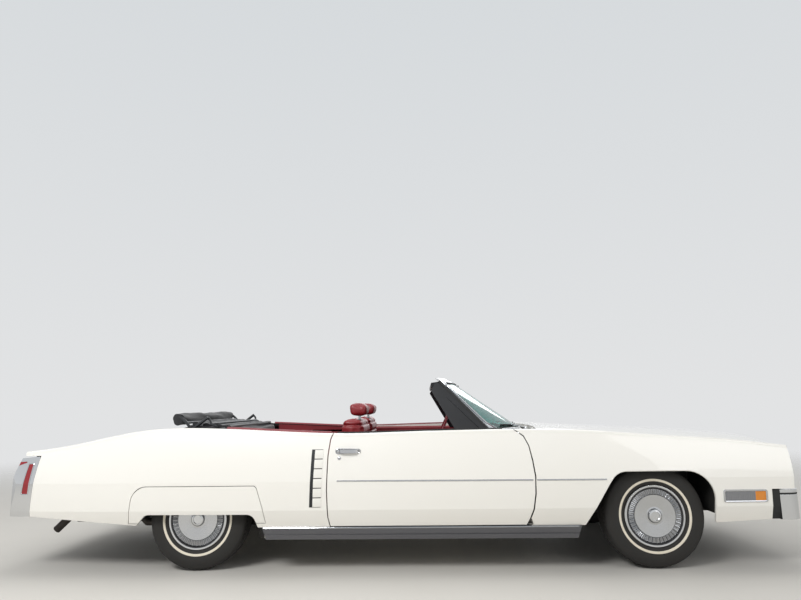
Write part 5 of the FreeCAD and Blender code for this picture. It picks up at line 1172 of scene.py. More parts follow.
@dataclass
class RoadWheels:
    """Whitewall tyres with cut treads, and the wheel covers' finish."""

    axles: tuple[tuple[str, float], ...] = (("front", 1.789), ("rear", -1.419))
    wheel_y: float = 0.806
    axle_z: float = 0.350
    white: Flat = (0.2325, 0.2485)
    turns: int = 288
    cover_ribs: float = 80.0
    spun_lines: float = 900.0

    def half_profile(self) -> list[Flat]:
        """Outer half of the tyre section as (radius, offset), from tread middle to bead."""
        return [
            (0.3498, 0.0), (0.3498, 0.008), (0.3498, 0.012), (0.3438, 0.0125), (0.3438, 0.0165),
            (0.3496, 0.017), (0.3494, 0.030), (0.3492, 0.037), (0.3432, 0.0375), (0.3432, 0.0415),
            (0.3488, 0.042), (0.3480, 0.056), (0.3465, 0.068), (0.3450, 0.0745), (0.3400, 0.075),
            (0.3398, 0.078), (0.3432, 0.0785), (0.3400, 0.088), (0.3345, 0.0965), (0.3260, 0.1015),
            (0.3150, 0.1055), (0.3020, 0.1090), (0.2900, 0.1112), (0.2800, 0.1120), (0.2700, 0.1120),
            (0.2600, 0.1112), (0.2530, 0.1104), (0.2505, 0.1102), (self.white[1], 0.1096), (0.2460, 0.1098),
            (0.2400, 0.1090), (0.2350, 0.1080), (self.white[0], 0.1070), (0.2310, 0.1062), (0.2250, 0.1052),
            (0.2180, 0.1035), (0.2120, 0.1000), (0.2050, 0.0945), (0.1980, 0.0895), (0.1910, 0.0842),
        ]

    def cut(self, turn: int, radius: float, offset: float) -> float:
        """Depth of the cross cuts in shoulder lugs and tread ribs at a place.

        Args:
            turn: number of the section round the tyre.
            radius: distance from the axle.
            offset: distance from the tread's middle, outward.
        Returns:
            The depth.
        """
        if radius > 0.3440 and abs(offset) > 0.044:
            return 0.0050 if (turn + (2 if offset > 0 else 0)) % 4 == 0 else 0.0
        if radius > 0.3480 and 0.017 < abs(offset) < 0.037:
            return 0.0028 if (turn + int(abs(offset) * 400)) % 6 == 0 else 0.0
        return 0.0

    def tyre(self, name: str, centre_x: float, side: int) -> None:
        """Builds one tyre with lugs along its shoulders.

        Args:
            name: the CAD tyre's name.
            centre_x: the axle's place along the car.
            side: +1 for the left side, -1 for the right.
        """
        half = self.half_profile()
        profile = [(r, -h) for r, h in reversed(half)] + half[1:]
        rings = []
        for i in range(self.turns):
            angle = 2 * math.pi * i / self.turns
            ring = []
            for r, h in profile:
                r -= self.cut(i, r, h)
                ring.append((centre_x + r * math.cos(angle), side * (self.wheel_y + h),
                             self.axle_z + r * math.sin(angle)))
            rings.append(ring)
        shape = Shape().add(*blend_rings(rings, True, False))
        made = shape.piece(name + "_dressed", TYRE, "road_wheel_" + name[5:], (name,), 50.0)
        made.data.materials.append(WHITEWALL.material())
        for face in made.data.polygons:
            spot = face.center
            reach = math.hypot(spot.x - centre_x, spot.z - self.axle_z)
            if self.white[0] < reach < self.white[1] and side * spot.y > self.wheel_y:
                face.material_index = 1

    def cover_material(self) -> None:
        """Adds to the spun steel: rings with painted light and shade in the base colour, ribs between the
        dish and the rim, and the brushing's direction.
        """
        tree = STEEL.material().node_tree
        shader = next(n for n in tree.nodes if n.type == "BSDF_PRINCIPLED")
        spot = put(tree, "ShaderNodeTexCoord").outputs["Generated"]
        x = calc(tree, "SUBTRACT", part(tree, spot, "X"), 0.5)
        z = calc(tree, "SUBTRACT", part(tree, spot, "Z"), 0.5)
        flat = put(tree, "ShaderNodeCombineXYZ", inputs={0: x, 1: z}).outputs[0]
        reach = put(tree, "ShaderNodeVectorMath", {"operation": "LENGTH"}, {0: flat}).outputs["Value"]
        fan = calc(tree, "SINE", calc(tree, "MULTIPLY", calc(tree, "ARCTAN2", z, x), self.cover_ribs))
        zone = ramp(tree, reach, [(0.345, BLACK), (0.355, WHITE), (0.425, WHITE), (0.432, BLACK)])
        # Painted light and shade: the base colour is banded by radius, dark in the grooves and in the recess
        # between the ribs and the rim, light on the boss, the dish and the outer ring
        ring_light_and_shade = ramp(tree, reach, [(place, linear(code)) for place, code in (
            (0.0, "#D2D3D4"), (0.095, "#8B8C8E"), (0.115, "#C6C7C8"), (0.335, "#77787A"), (0.347, "#A2A3A5"),
            (0.432, "#4A4A4C"), (0.462, "#D2D3D4"))], True)
        tree.links.new(ring_light_and_shade, shader.inputs["Base Color"])
        lines = calc(tree, "SINE", calc(tree, "MULTIPLY", reach, self.spun_lines))
        spin = calc(tree, "MULTIPLY", lines, 0.02)
        height = calc(tree, "ADD", calc(tree, "MULTIPLY", fan, zone), spin)
        bump = put(tree, "ShaderNodeBump", inputs={"Height": height, "Distance": 0.0012})
        tree.links.new(bump.outputs[0], shader.inputs["Normal"])
        line = put(tree, "ShaderNodeTangent", {"direction_type": "RADIAL", "axis": "Y"})
        tree.links.new(line.outputs[0], shader.inputs["Tangent"])
        shader.inputs["Anisotropic"].default_value = 0.8

    def build(self) -> None:
        """Builds four tyres and dresses four wheels."""
        self.cover_material()
        for axle, x in self.axles:
            for side, word in SIDES:
                self.tyre(f"tyre_{axle}_{word}", x, side)
                dress(STEEL, f"wheel_{axle}_{word}")


@dataclass
class Cushion:
    """A stuffed form from a side outline, blown up as cloth and then sewn."""

    outline: Sequence[Flat]
    y0: float
    y1: float
    voxel: float = 0.0065
    corner: float = 0.022
    cap: float = 0.014
    pressure: float = 4.0
    frames: int = 20

    def blank(self) -> bpy.types.Mesh:
        """The stuffed form before it is blown up, as an even grid of faces.

        Returns:
            The mesh.
        """
        count = len(self.outline)
        verts = [(x, self.y0, z) for x, z in self.outline] + [(x, self.y1, z) for x, z in self.outline]
        faces = [tuple(range(count)), tuple(range(2 * count - 1, count - 1, -1))]
        faces += [(i, (i + 1) % count, count + (i + 1) % count, count + i) for i in range(count)]
        bm = bmesh.new()
        for v in verts:
            bm.verts.new(v)
        bm.verts.ensure_lookup_table()
        for face in faces:
            bm.faces.new([bm.verts[i] for i in face])
        bmesh.ops.recalc_face_normals(bm, faces=bm.faces)
        bmesh.ops.bevel(bm, geom=list(bm.edges), offset=self.corner, segments=3, profile=0.5, affect="EDGES")
        mesh = bpy.data.meshes.new("blank")
        bm.to_mesh(mesh)
        bm.free()
        holder = bpy.data.objects.new("blank", mesh)
        bpy.context.scene.collection.objects.link(holder)
        grid = holder.modifiers.new("grid", "REMESH")
        grid.mode = "VOXEL"
        grid.voxel_size = self.voxel
        bpy.context.view_layer.update()
        even = bpy.data.meshes.new_from_object(holder.evaluated_get(bpy.context.evaluated_depsgraph_get()))
        bpy.data.objects.remove(holder)
        return even

    def blown(self) -> bpy.types.Mesh:
        """The form after its cloth skin has filled out.

        Returns:
            The mesh, with no point moved further than the cap.
        """
        mesh = self.blank()
        scene = bpy.context.scene
        holder = bpy.data.objects.new("skin", mesh)
        scene.collection.objects.link(holder)
        cloth = holder.modifiers.new("air", "CLOTH")
        cloth.settings.use_pressure = True
        cloth.settings.uniform_pressure_force = self.pressure
        cloth.settings.effector_weights.gravity = 0.0
        cloth.settings.quality = 4
        cloth.collision_settings.use_collision = False
        cloth.point_cache.frame_start = 1
        cloth.point_cache.frame_end = self.frames
        for step in range(1, self.frames + 1):
            scene.frame_set(step)
        full = holder.evaluated_get(bpy.context.evaluated_depsgraph_get()).to_mesh()
        for before, after in zip(mesh.vertices, full.vertices):
            move = after.co - before.co
            if move.length > self.cap:
                move *= self.cap / move.length
            before.co = before.co + move
        holder.evaluated_get(bpy.context.evaluated_depsgraph_get()).to_mesh_clear()
        bpy.data.objects.remove(holder)
        scene.frame_set(1)
        return mesh

    def sewn(self, lines: Callable[[Vector, Vector], float], depth: float, width: float) -> bpy.types.Mesh:
        """Presses sewn channels into the blown form.

        Args:
            lines: gives a point's distance from the nearest seam, from its place and normal.
            depth: how deep a seam sinks.
            width: half width of its valley.
        Returns:
            The finished mesh.
        """
        mesh = self.blown()
        moves = [v.normal * (-depth * math.exp(-((lines(v.co, v.normal) / width) ** 2)))
                 for v in mesh.vertices]
        for v, move in zip(mesh.vertices, moves):
            v.co = v.co + move
        return mesh


def mirrored_mesh(mesh: bpy.types.Mesh) -> bpy.types.Mesh:
    """A copy of a mesh on the other side of the car."""
    copy = mesh.copy()
    copy.transform(Matrix.Scale(-1, 4, (0, 1, 0)))
    copy.flip_normals()
    return copy


def pleat_gap(y: float, y0: float, y1: float, count: int) -> float:
    """Distance across to the nearest of count + 1 pleat lines from y0 to y1."""
    pitch = (y1 - y0) / count
    share = min(max((y - y0) / pitch, 0.0), float(count))
    return abs(share - round(share)) * pitch


FAR = 9.0
CUSHION_CREASE, DOOR_CREASE = 80.0, 60.0


@dataclass
class Cabin:
    """Seats, pads, dash, wheel, carpet and door faces."""

    seat_y: Flat = (0.066, 0.694)
    pleats: int = 9
    pleat_margin: float = 0.10
    bench_half: float = 0.612
    bench_pleats: int = 18
    bench_margin: float = 0.08
    floor_z: float = 0.292
    door_back: float = -0.425
    door_low: float = 0.380
    door_high: float = 0.545
    face_x: float = 0.556
    hub: Place = (0.345, 0.400, 0.855)
    wheel_tilt: float = 24.0

    def front_seats(self) -> None:
        """Split front bench with pleated faces and headrests."""
        y0, y1 = self.seat_y
        mid = (y0 + y1) / 2
        first, last = y0 + self.pleat_margin, y1 - self.pleat_margin

        def cushion_lines(spot: Vector, normal: Vector) -> float:
            """Lengthwise pleats on top, with a cross seam behind the front roll."""
            if normal.z < 0.35 and normal.x < 0.6:
                return abs(spot.z - 0.43) if normal.z > -0.3 else FAR
            if spot.x > 0.115:
                return abs(spot.x - 0.12)
            return min(pleat_gap(spot.y, first, last, self.pleats), abs(spot.x - 0.12))

        def back_lines(spot: Vector, normal: Vector) -> float:
            """Upright pleats below two crosswise rolls."""
            cross = min(abs(spot.z - 0.985), abs(spot.z - 0.915))
            if spot.z > 0.90:
                return cross
            if normal.x < 0.3:
                return abs(spot.x + 0.335 + (spot.z - 1.0) * 0.08) if normal.x > -0.4 else FAR
            return min(pleat_gap(spot.y, first, last, self.pleats), cross)

        cushion = Cushion([(-0.285, 0.365), (0.150, 0.365), (0.188, 0.520), (-0.275, 0.500)],
                          y0 + 0.012, y1 - 0.012).sewn(cushion_lines, 0.009, 0.007)
        back = Cushion([(-0.345, 0.455), (-0.228, 0.500), (-0.280, 1.036), (-0.418, 1.036), (-0.402, 0.500)],
                       y0 + 0.010, y1 - 0.010, 0.0065, 0.034).sewn(back_lines, 0.012, 0.009)
        rest = Cushion([(-0.256, 1.056), (-0.244, 1.136), (-0.388, 1.147), (-0.376, 1.056)], mid - 0.138,
                       mid + 0.138, 0.005, 0.027, 0.010)
        rest = rest.sewn(lambda p, n: abs(abs(p.y - mid) - 0.085), 0.005, 0.006)
        own, stands_for = "car_body", ("front_seats",)
        for side, word in SIDES:
            for mesh, name, fill in ((cushion, "front_cushion", 0.7), (back, "front_backrest", 0.75),
                                     (rest, "headrest", 0.9)):
                mesh = mesh.copy() if side > 0 else mirrored_mesh(mesh)
                settle(f"{name}_{word}", mesh, LEATHER, own, stands_for, CUSHION_CREASE)
            stalks = Shape()
            for shift in (-0.055, 0.055):
                y = side * (mid + shift)
                stalks.tube([(-0.318, y, 1.01), (-0.316, y, 1.09)], 0.006, (1, 0, 0))
            stalks.piece(f"headrest_stalks_{word}", TRIM_CHROME, own, stands_for)
            base = Shape().slab((-0.30, 0.135), side * mid, 0.29, (self.floor_z, 0.372), 0.012, 2)
            base.piece(f"front_seat_plinth_{word}", RED_VINYL, own, stands_for)
            hinge = Shape().slab((-0.33, -0.20), side * (y1 - 0.002), 0.004, (0.40, 0.56), 0.003)
            hinge.piece(f"seat_side_plate_{word}", TRIM_CHROME, own, stands_for)

    def rear_seat(self) -> None:
        """Rear bench with pleated faces, and the trim beside it."""
        half = self.bench_half
        first, last = -half + self.bench_margin, half - self.bench_margin

        def cushion_lines(spot: Vector, normal: Vector) -> float:
            """Lengthwise pleats on top."""
            if normal.z < 0.35:
                return FAR
            if spot.x > -0.685:
                return abs(spot.x + 0.68)
            return min(pleat_gap(spot.y, first, last, self.bench_pleats), abs(spot.x + 0.68))

        def back_lines(spot: Vector, normal: Vector) -> float:
            """Upright pleats below a top roll."""
            if normal.x < 0.3:
                return FAR
            if spot.z > 0.855:
                return abs(spot.z - 0.86)
            return min(pleat_gap(spot.y, first, last, self.bench_pleats), abs(spot.z - 0.86))

        cushion = Cushion([(-0.930, 0.320), (-0.655, 0.320), (-0.620, 0.530), (-1.032, 0.517),
                           (-1.034, 0.510), (-0.930, 0.510)], -half + 0.010, half - 0.010, 0.0090, 0.016)
        back = Cushion([(-1.118, 0.512), (-1.040, 0.512), (-1.138, 0.924), (-1.206, 0.924)], -half, half,
                       0.0090, 0.024, 0.012)
        own, stands_for = "car_body", ("rear_seat",)
        cushion, back = cushion.sewn(cushion_lines, 0.009, 0.009), back.sewn(back_lines, 0.009, 0.009)
        for mesh, name in ((cushion, "rear_cushion"), (back, "rear_backrest")):
            settle(name, mesh, LEATHER, own, stands_for, CUSHION_CREASE)
        pad = Cushion([(-0.895, 0.350), (-0.520, 0.350), (-0.520, 0.890), (-0.895, 0.890)], 0.772, 0.793,
                      0.0075, 0.006, 0.005)
        pad = pad.sewn(lambda p, n: abs(p.z - 0.62) if p.x < -0.6 else FAR, 0.004, 0.006)
        for side, word in SIDES:
            mesh = pad.copy() if side > 0 else mirrored_mesh(pad)
            made = settle(f"quarter_pad_{word}", mesh, RED_VINYL, own, stands_for, CUSHION_CREASE)
            trim = Shape().slab((-1.020, -0.942), side * 0.632, 0.005, (0.507, 0.762), 0.003)
            trim.piece(f"wheelhouse_trim_{word}", RED_VINYL, own, stands_for)
            front = Shape().slab((-0.930, -0.904), side * 0.684, 0.078, (0.302, 0.897), 0.006)
            front.piece(f"wheelhouse_front_{word}", RED_VINYL, own, stands_for)
            shelf = Shape().slab((-1.213, -0.932), side * 0.690, 0.029, (0.7645, 0.898), 0.012, 3)
            shelf.piece(f"wheelhouse_pad_{word}", RED_VINYL, own, stands_for)

    def carpet(self) -> None:
        """Carpet on the floor and up the toe board."""
        low, high = self.floor_z + 0.001, self.floor_z + 0.009
        profile = [(-0.930, low), (-0.930, high), (0.862, high), (0.974, 0.426), (0.974, 0.60), (0.981, 0.60),
                   (0.981, 0.428), (0.867, low)]
        rings = [[(x, y, z) for x, z in profile] for y in (-0.782, -0.3, 0.3, 0.782)]
        Shape().loft(rings).piece("carpet", CARPET)
        Shape().slab((-0.958, -0.944), 0.0, 0.62, (high, 0.50), 0.002).piece("carpet_rear_riser", CARPET)

    def door_face(self, side: int, columns: int = 150, rows: int = 34) -> Shape:
        """Padded face of a door: a pleated grid of points with a rim and a back.

        Args:
            side: +1 for the left side, -1 for the right.
            columns: faces along the door.
            rows: faces up the door.
        Returns:
            The shape.
        """
        inner, thick, pitch = 0.840, 0.022, 0.040
        x0, z0, height = self.door_back, self.door_low, self.door_high
        verts = []
        for i in range(columns + 1):
            for j in range(rows + 1):
                u, v = i / columns, j / rows
                front = 0.870 + 0.010 * min(v / 0.75, 1) - 0.075 * max(0.0, (v - 0.77) / 0.23) ** 1.2
                x = x0 + (front - x0) * u
                z = z0 + height * v
                edge = min(x - x0, front - x, z - z0, z0 + height - z)
                rise = thick * min(1.0, (max(edge, 0.0) / 0.02)) ** 0.5
                if 0.70 < z < 0.885 and -0.36 < x < 0.76:
                    rise -= 0.006 * (1 - math.sin(math.pi * ((x / pitch) % 1.0)) ** 0.5)
                if 0.693 < z < 0.702 or 0.884 < z < 0.893:
                    rise -= 0.005
                verts.append((x, side * (inner - 0.001 - rise), z))
        step = rows + 1
        faces = [(i * step + j, (i + 1) * step + j, (i + 1) * step + j + 1, i * step + j + 1)
                 for i in range(columns) for j in range(rows)]
        base = len(verts)
        rim = [i * step for i in range(columns + 1)] + [columns * step + j for j in range(1, rows + 1)]
        rim += [i * step + rows for i in range(columns - 1, -1, -1)] + list(range(rows - 1, 0, -1))
        verts += [(verts[k][0], side * inner, verts[k][2]) for k in rim]
        count = len(rim)
        faces += [(rim[k], rim[(k + 1) % count], base + (k + 1) % count, base + k) for k in range(count)]
        faces.append(tuple(base + k for k in range(count)))
        return Shape().add(verts, faces)

    def door_trims(self) -> None:
        """Padded door faces with armrests, pulls, bright parts, carpet, top pads and glass seals."""
        arm = Cushion([(0.395, 0.640), (0.365, 0.600), (-0.315, 0.612), (-0.315, 0.678), (0.060, 0.678)],
                      0.766, 0.818, 0.006, 0.012, 0.006)
        arm = arm.sewn(lambda p, n: abs(p.z - 0.645) if n.y < -0.4 else FAR, 0.003, 0.005)
        cap = [(-0.017, -0.004), (-0.017, 0.002), (-0.010, 0.008), (0.004, 0.009), (0.014, 0.004),
               (0.017, -0.004)]
        lip = [(-0.007, -0.006), (-0.007, 0.006), (-0.002, 0.009), (0.005, 0.009), (0.007, 0.004),
               (0.007, -0.006)]
        for side, word in SIDES:
            door = "door_" + word
            stands_for = ("door_trim_" + word,)
            panel = self.door_face(side).piece(f"door_face_{word}", RED_VINYL, door, stands_for, DOOR_CREASE)
            mesh = arm.copy() if side > 0 else mirrored_mesh(arm)
            settle(f"armrest_{word}", mesh, LEATHER, door, stands_for, CUSHION_CREASE)
            bright = Shape().slab((-0.40, 0.845), side * 0.8165, 0.002, (0.520, 0.528), 0.001)
            bright.slab((0.47, 0.60), side * 0.8160, 0.004, (0.655, 0.685), 0.003)
            lever = ((0.49, 0.812, 0.672), (0.49, 0.796, 0.672), (0.57, 0.794, 0.668), (0.60, 0.796, 0.664))
            bright.tube([(x, side * y, z) for x, y, z in lever], 0.005)
            bright.tube([(0.02 + 0.14 * t, side * (0.812 - 0.030 * math.sin(math.pi * t)), 0.79)
                         for t in span(0.0, 1.0, 8)], 0.007)
            bright.piece(f"door_bright_parts_{word}", TRIM_CHROME, door)
            foot = Shape().slab((-0.405, 0.850), side * 0.8170, 0.003, (0.392, 0.500), 0.002)
            foot.piece(f"door_carpet_{word}", CARPET, door)
            top = [(x, side * 0.858, cast_height(door, x, side * 0.865, 0.935) + 0.001)
                   for x in span(self.door_back, 0.765, 24)]
            Shape().sweep(top, cap, UP).piece(f"door_top_pad_{word}", RED_VINYL, door)
            seal = Shape().sweep([(x, side * 0.883, z + 0.001) for x, _, z in top], lip, UP)
            seal.piece(f"door_glass_seal_{word}", RUBBER, door)

    def edge_y(self, x: float) -> float:
        """Half width of the cabin's edge beside and behind the bench."""
        return 0.800 - 0.060 * (-0.48 - x) / 0.67 if x >= -1.15 else 0.740 - 0.050 * (-1.15 - x) / 0.6

    def cockpit_edge(self) -> None:
        """Padded roll along the body's edge behind the doors."""
        section = ((-0.022, -0.030), (-0.026, -0.006), (-0.018, 0.012), (0.0, 0.017), (0.014, 0.010),
                   (0.018, 0.002), (0.0, 0.0))
        for side, word in SIDES:
            path = []
            for x in span(-0.482, -1.282, 28):
                y = self.edge_y(x)
                z = cast_height("quarters", x, side * (y + 0.014), 0.95) - 0.004
                path.append((x, side * (y + 0.002), z))
            roll = [(-side * a, b) for a, b in section]
            Shape().sweep(path, roll, UP).piece(f"cockpit_edge_pad_{word}", RED_VINYL)

    def covers(self) -> None:
        """Trim that closes the cabin: the step behind the bench, the quarter walls and the sill plates."""
        Shape().slab((-1.128, -0.952), 0.0, 0.655, (0.5062, 0.5088)).piece("seat_step_cover", CARPET)
        Shape().slab((-2.640, -1.930), 0.0, 0.580, (0.4305, 0.4345), 0.0015).piece("boot_mat", FELT)
        for side, word in SIDES:
            rings = []
            for x in span(-0.492, -1.240, 24):
                y = self.edge_y(x)
                top = cast_height("quarters", x, side * (y + 0.014), 0.94) - 0.010
                inner, outer = side * (y - 0.007), side * (y - 0.002)
                rings.append([(x, inner, 0.902), (x, inner, top), (x, outer, top), (x, outer, 0.902)])
            Shape().loft(rings).piece(f"quarter_wall_{word}", RED_VINYL)
            shelf = Shape().slab((-1.240, -0.905), side * 0.738, 0.026, (0.8995, 0.9035), 0.001)
            shelf.piece(f"quarter_shelf_{word}", RED_VINYL)
            plate = Shape().slab((-0.448, 0.862), side * 0.815, 0.028, (0.3363, 0.3378))
            for k in range(7):
                plate.slab((-0.430, 0.845), side * (0.794 + 0.007 * k), 0.0018, (0.3370, 0.3392), 0.0008)
            plate.piece(f"sill_plate_{word}", BRUSHED)

    def dash(self) -> None:
        """Inlay, bright strips, air outlets and radio of the dash."""
        dress(DASH_VINYL, "dashboard")
        dress(RED_VINYL, "steering_wheel")
        x = self.face_x
        inlay = Shape().block((x - 0.002, -0.74, 0.815), (x + 0.004, 0.16, 0.880), 0.002)
        inlay.piece("dash_inlay", WOOD_FILM)
        strips = Shape()
        for z in (0.808, 0.885):
            strips.block((x - 0.004, -0.745, z - 0.002), (x + 0.003, 0.165, z + 0.002), 0.001)
        strips.block((0.534, 0.175, 0.842), (0.541, 0.625, 0.847), 0.001)
        strips.block((0.534, 0.175, 0.925), (0.545, 0.625, 0.929), 0.001)
        strips.piece("dash_bright_strips", TRIM_CHROME)
        self.dials()
        outlets = Shape()
        for y in (-0.62, -0.30, 0.70):
            for i in range(5):
                low = 0.7660 + 0.0080 * i
                outlets.slab((x - 0.005, x + 0.002), y, 0.055, (low, low + 0.003), 0.001)
        outlets.piece("air_outlets", BLACK_PLASTIC)
        radio = Shape().block((x - 0.004, -0.06, 0.826), (x - 0.001, 0.12, 0.870), 0.002)
        radio.piece("radio_face", BLACK_PLASTIC)
        knobs = Shape()
        for y in (-0.045, 0.105):
            knobs.lathe([(0.0, 0.020), (0.008, 0.019), (0.010, 0.016), (0.011, 0.0)], (x - 0.003, y, 0.848),
                        (-1, 0, 0), 20)
        knobs.piece("radio_knobs", TRIM_CHROME)

    def dials(self) -> None:
        """Instrument face with three dials."""
        Shape().block((0.534, 0.190, 0.850), (0.543, 0.610, 0.922), 0.002).piece("instrument_face", DIAL)
        marks, rings, z = Shape(), Shape(), 0.886
        for y, radius in ((0.300, 0.030), (0.400, 0.033), (0.500, 0.030)):
            rings.lathe([(radius, 0.0), (radius + 0.001, 0.004), (radius + 0.004, 0.0)], (0.534, y, z),
                        (-1, 0, 0), 40)
            for angle in map(math.radians, span(-30.0, 210.0, 12)):
                ends = [(0.5335, y - r * math.cos(angle), z + r * math.sin(angle))
                        for r in (radius - 0.003, radius - 0.009)]
                marks.tube(ends, 0.0006, (1, 0, 0), False, 4)
            needle = [(0.5333, y, z), (0.5333, y + radius * 0.55, z + radius * 0.35)]
            marks.tube(needle, 0.0008, (1, 0, 0), False, 4)
        rings.piece("dial_rims", TRIM_CHROME)
        marks.piece("dial_marks", DIAL_MARK)

    def controls(self) -> None:
        """Steering hub and spokes, signal stalk and pedals."""
        tilt, hub = math.radians(self.wheel_tilt), Vector(self.hub)
        line = Vector((-math.cos(tilt), 0, math.sin(tilt)))
        across, down = Vector((0, 1, 0)), Vector((-math.sin(tilt), 0, -math.cos(tilt)))
        pad = Shape().lathe([(0.0, 0.034), (0.030, 0.032), (0.047, 0.024), (0.052, 0.010), (0.046, -0.004)],
                            tuple(hub), tuple(line), 40)
        pad.piece("steering_hub_pad", RED_VINYL, "steering_wheel")
        blades = Shape()
        for way in (across, -across, down):
            spoke = [tuple(hub + way * 0.045 + line * 0.012), tuple(hub + way * 0.16 + line * 0.010)]
            blades.sweep(spoke, flat_bar(0.011, 0.002), tuple(line))
        blades.piece("steering_spoke_faces", TRIM_CHROME, "steering_wheel")
        stalk = Shape().tube([(0.47, 0.36, 0.825), (0.44, 0.26, 0.845), (0.435, 0.23, 0.85)], 0.005)
        stalk.piece("signal_stalk", TRIM_CHROME)
        pedals = Shape().block((0.80, 0.22, 0.40), (0.815, 0.36, 0.48), 0.006)
        pedals.block((0.845, 0.10, 0.33), (0.86, 0.17, 0.50), 0.006)
        pedals.tube([(0.81, 0.29, 0.47), (0.86, 0.29, 0.66)], 0.008, (0, 1, 0))
        pedals.tube([(0.855, 0.135, 0.48), (0.90, 0.135, 0.64)], 0.006, (0, 1, 0))
        pedals.piece("pedals", RUBBER)

    def build(self) -> None:
        """Builds everything in the cabin."""
        dress(INNER_PAINT, "floor")
        for step in (self.front_seats, self.rear_seat, self.carpet, self.door_trims, self.cockpit_edge,
                     self.covers, self.dash, self.controls):
            step()


@dataclass
class SoftTop:
    """The folded top: a stack of cloth folds, its rear roll, and the bows."""

    half: float = 0.622
    stations: int = 61
    roll_stations: int = 81
    roll_sides: int = 28
    roll_radius: float = 0.043
    roll_centre: Flat = (-1.712, 1.046)
    stack_centre: Flat = (-1.48, 0.87)

    def soft(self, shape: Shape, name: str, fill: float) -> None:
        """Makes a piece of top cloth."""
        shape.piece(name, TOP_CLOTH, "car_body", ("folded_top",), 60.0)

    def stack(self) -> None:
        """Folded layers lying in the well."""
        outline = corner_path([(-1.262, 0.772, 0.025), (-1.250, 0.945, 0.035), (-1.300, 0.972, 0.03),
                               (-1.430, 0.984, 0.05), (-1.560, 0.998, 0.05), (-1.640, 1.002, 0.03),
                               (-1.700, 0.960, 0.03), (-1.705, 0.772, 0.03)], 7)
        centre = Vector(self.stack_centre)
        rings = []
        for y in span(-self.half, self.half, self.stations - 1):
            pull = 1.0 - 0.10 * max(0.0, (abs(y) - self.half + 0.03) / 0.03) ** 2
            ring = []
            for x, z in outline:
                if z > 0.9:
                    z += 0.010 * math.sin(x * 95 + 2.1 * math.sin(y * 3.0))
                    z += 0.006 * noise.noise(Vector((x * 14, y * 5, 3.0)))
                x += 0.006 * noise.noise(Vector((x * 9, y * 6, z * 9)))
                spot = centre + (Vector((x, z)) - centre) * pull
                ring.append((spot.x, y, spot.y))
            rings.append(ring)
        self.soft(Shape().loft(rings), "folded_top_stack", 0.35)

    def folds(self) -> None:
        """Four crosswise folds on the stack."""
        for n, (x, z, r) in enumerate(((-1.32, 0.985, 0.016), (-1.40, 0.990, 0.018), (-1.49, 0.999, 0.017),
                                       (-1.57, 1.008, 0.018))):
            fold = []
            for y in span(-self.half + 0.01, self.half - 0.01, self.stations - 1):
                sway, rise = noise.noise(Vector((n, y * 4, 1))), noise.noise(Vector((n, y * 6, 7)))
                fold.append((x + 0.010 * sway, y, z + 0.006 * rise))
            self.soft(Shape().sweep(fold, oval(r * 1.7, r * 0.8, 14), UP), f"top_fold_{n + 1}", 0.3)

    def roll(self) -> None:
        """The rolled rear edge, highest at the back of the stack."""
        x, z = self.roll_centre
        rings = []
        for y in span(-self.half, self.half, self.roll_stations - 1):
            ring = []
            for k in range(self.roll_sides):
                angle = 2 * math.pi * k / self.roll_sides
                r = self.roll_radius + 0.004 * math.sin(3 * angle + 9 * y)
                r += 0.005 * noise.noise(Vector((y * 9, math.cos(angle) * 1.6, math.sin(angle) * 1.6)))
                ring.append((x + r * math.cos(angle), y, z + r * 1.05 * math.sin(angle)))
            rings.append(ring)
        self.soft(Shape().loft(rings), "folded_top_roll", 0.5)

    def bows(self) -> None:
        """Grey side rails and bows of the folding frame."""
        dress(IRON, "top_irons")
        links, bows = Shape(), Shape()
        for side, _ in SIDES:
            y = side * (self.half + 0.010)
            links.sweep([(-1.700, y, 1.070), (-1.655, y, 1.035), (-1.612, y, 0.985)],
                        flat_bar(0.004, 0.010), UP)
            links.sweep([(-1.478, y, 1.062), (-1.455, y, 1.035), (-1.448, y, 1.010), (-1.40, y, 0.985)],
                        flat_bar(0.003, 0.008), UP)
            links.lathe([(0.0, 0.006), (0.012, 0.005), (0.013, -0.006)], (-1.600, y, 0.965), (0, side, 0), 20)
        links.piece("top_side_links", IRON)
        reach = self.half + 0.004
        for x, z in ((-1.645, 1.020), (-1.445, 1.010)):
            bows.tube([(x, -reach, z), (x, reach, z)], 0.009)
        bows.piece("top_bows", IRON)

    def build(self) -> None:
        """Builds the folded top."""
        for step in (self.stack, self.folds, self.roll, self.bows):
            step()


class Running:
    """Frame, engine, axles and exhaust."""

    def build(self) -> None:
        """Gives the running gear its finishes."""
        dress(CHASSIS_BLACK, "frame")
        dress(ENGINE_ENAMEL, "engine")
        dress(EXHAUST_STEEL, "exhaust")
        dress(TERNE, "fuel_tank")
        dress(FORGED, "rear_axle", "front_suspension", "knuckle_left", "knuckle_right")


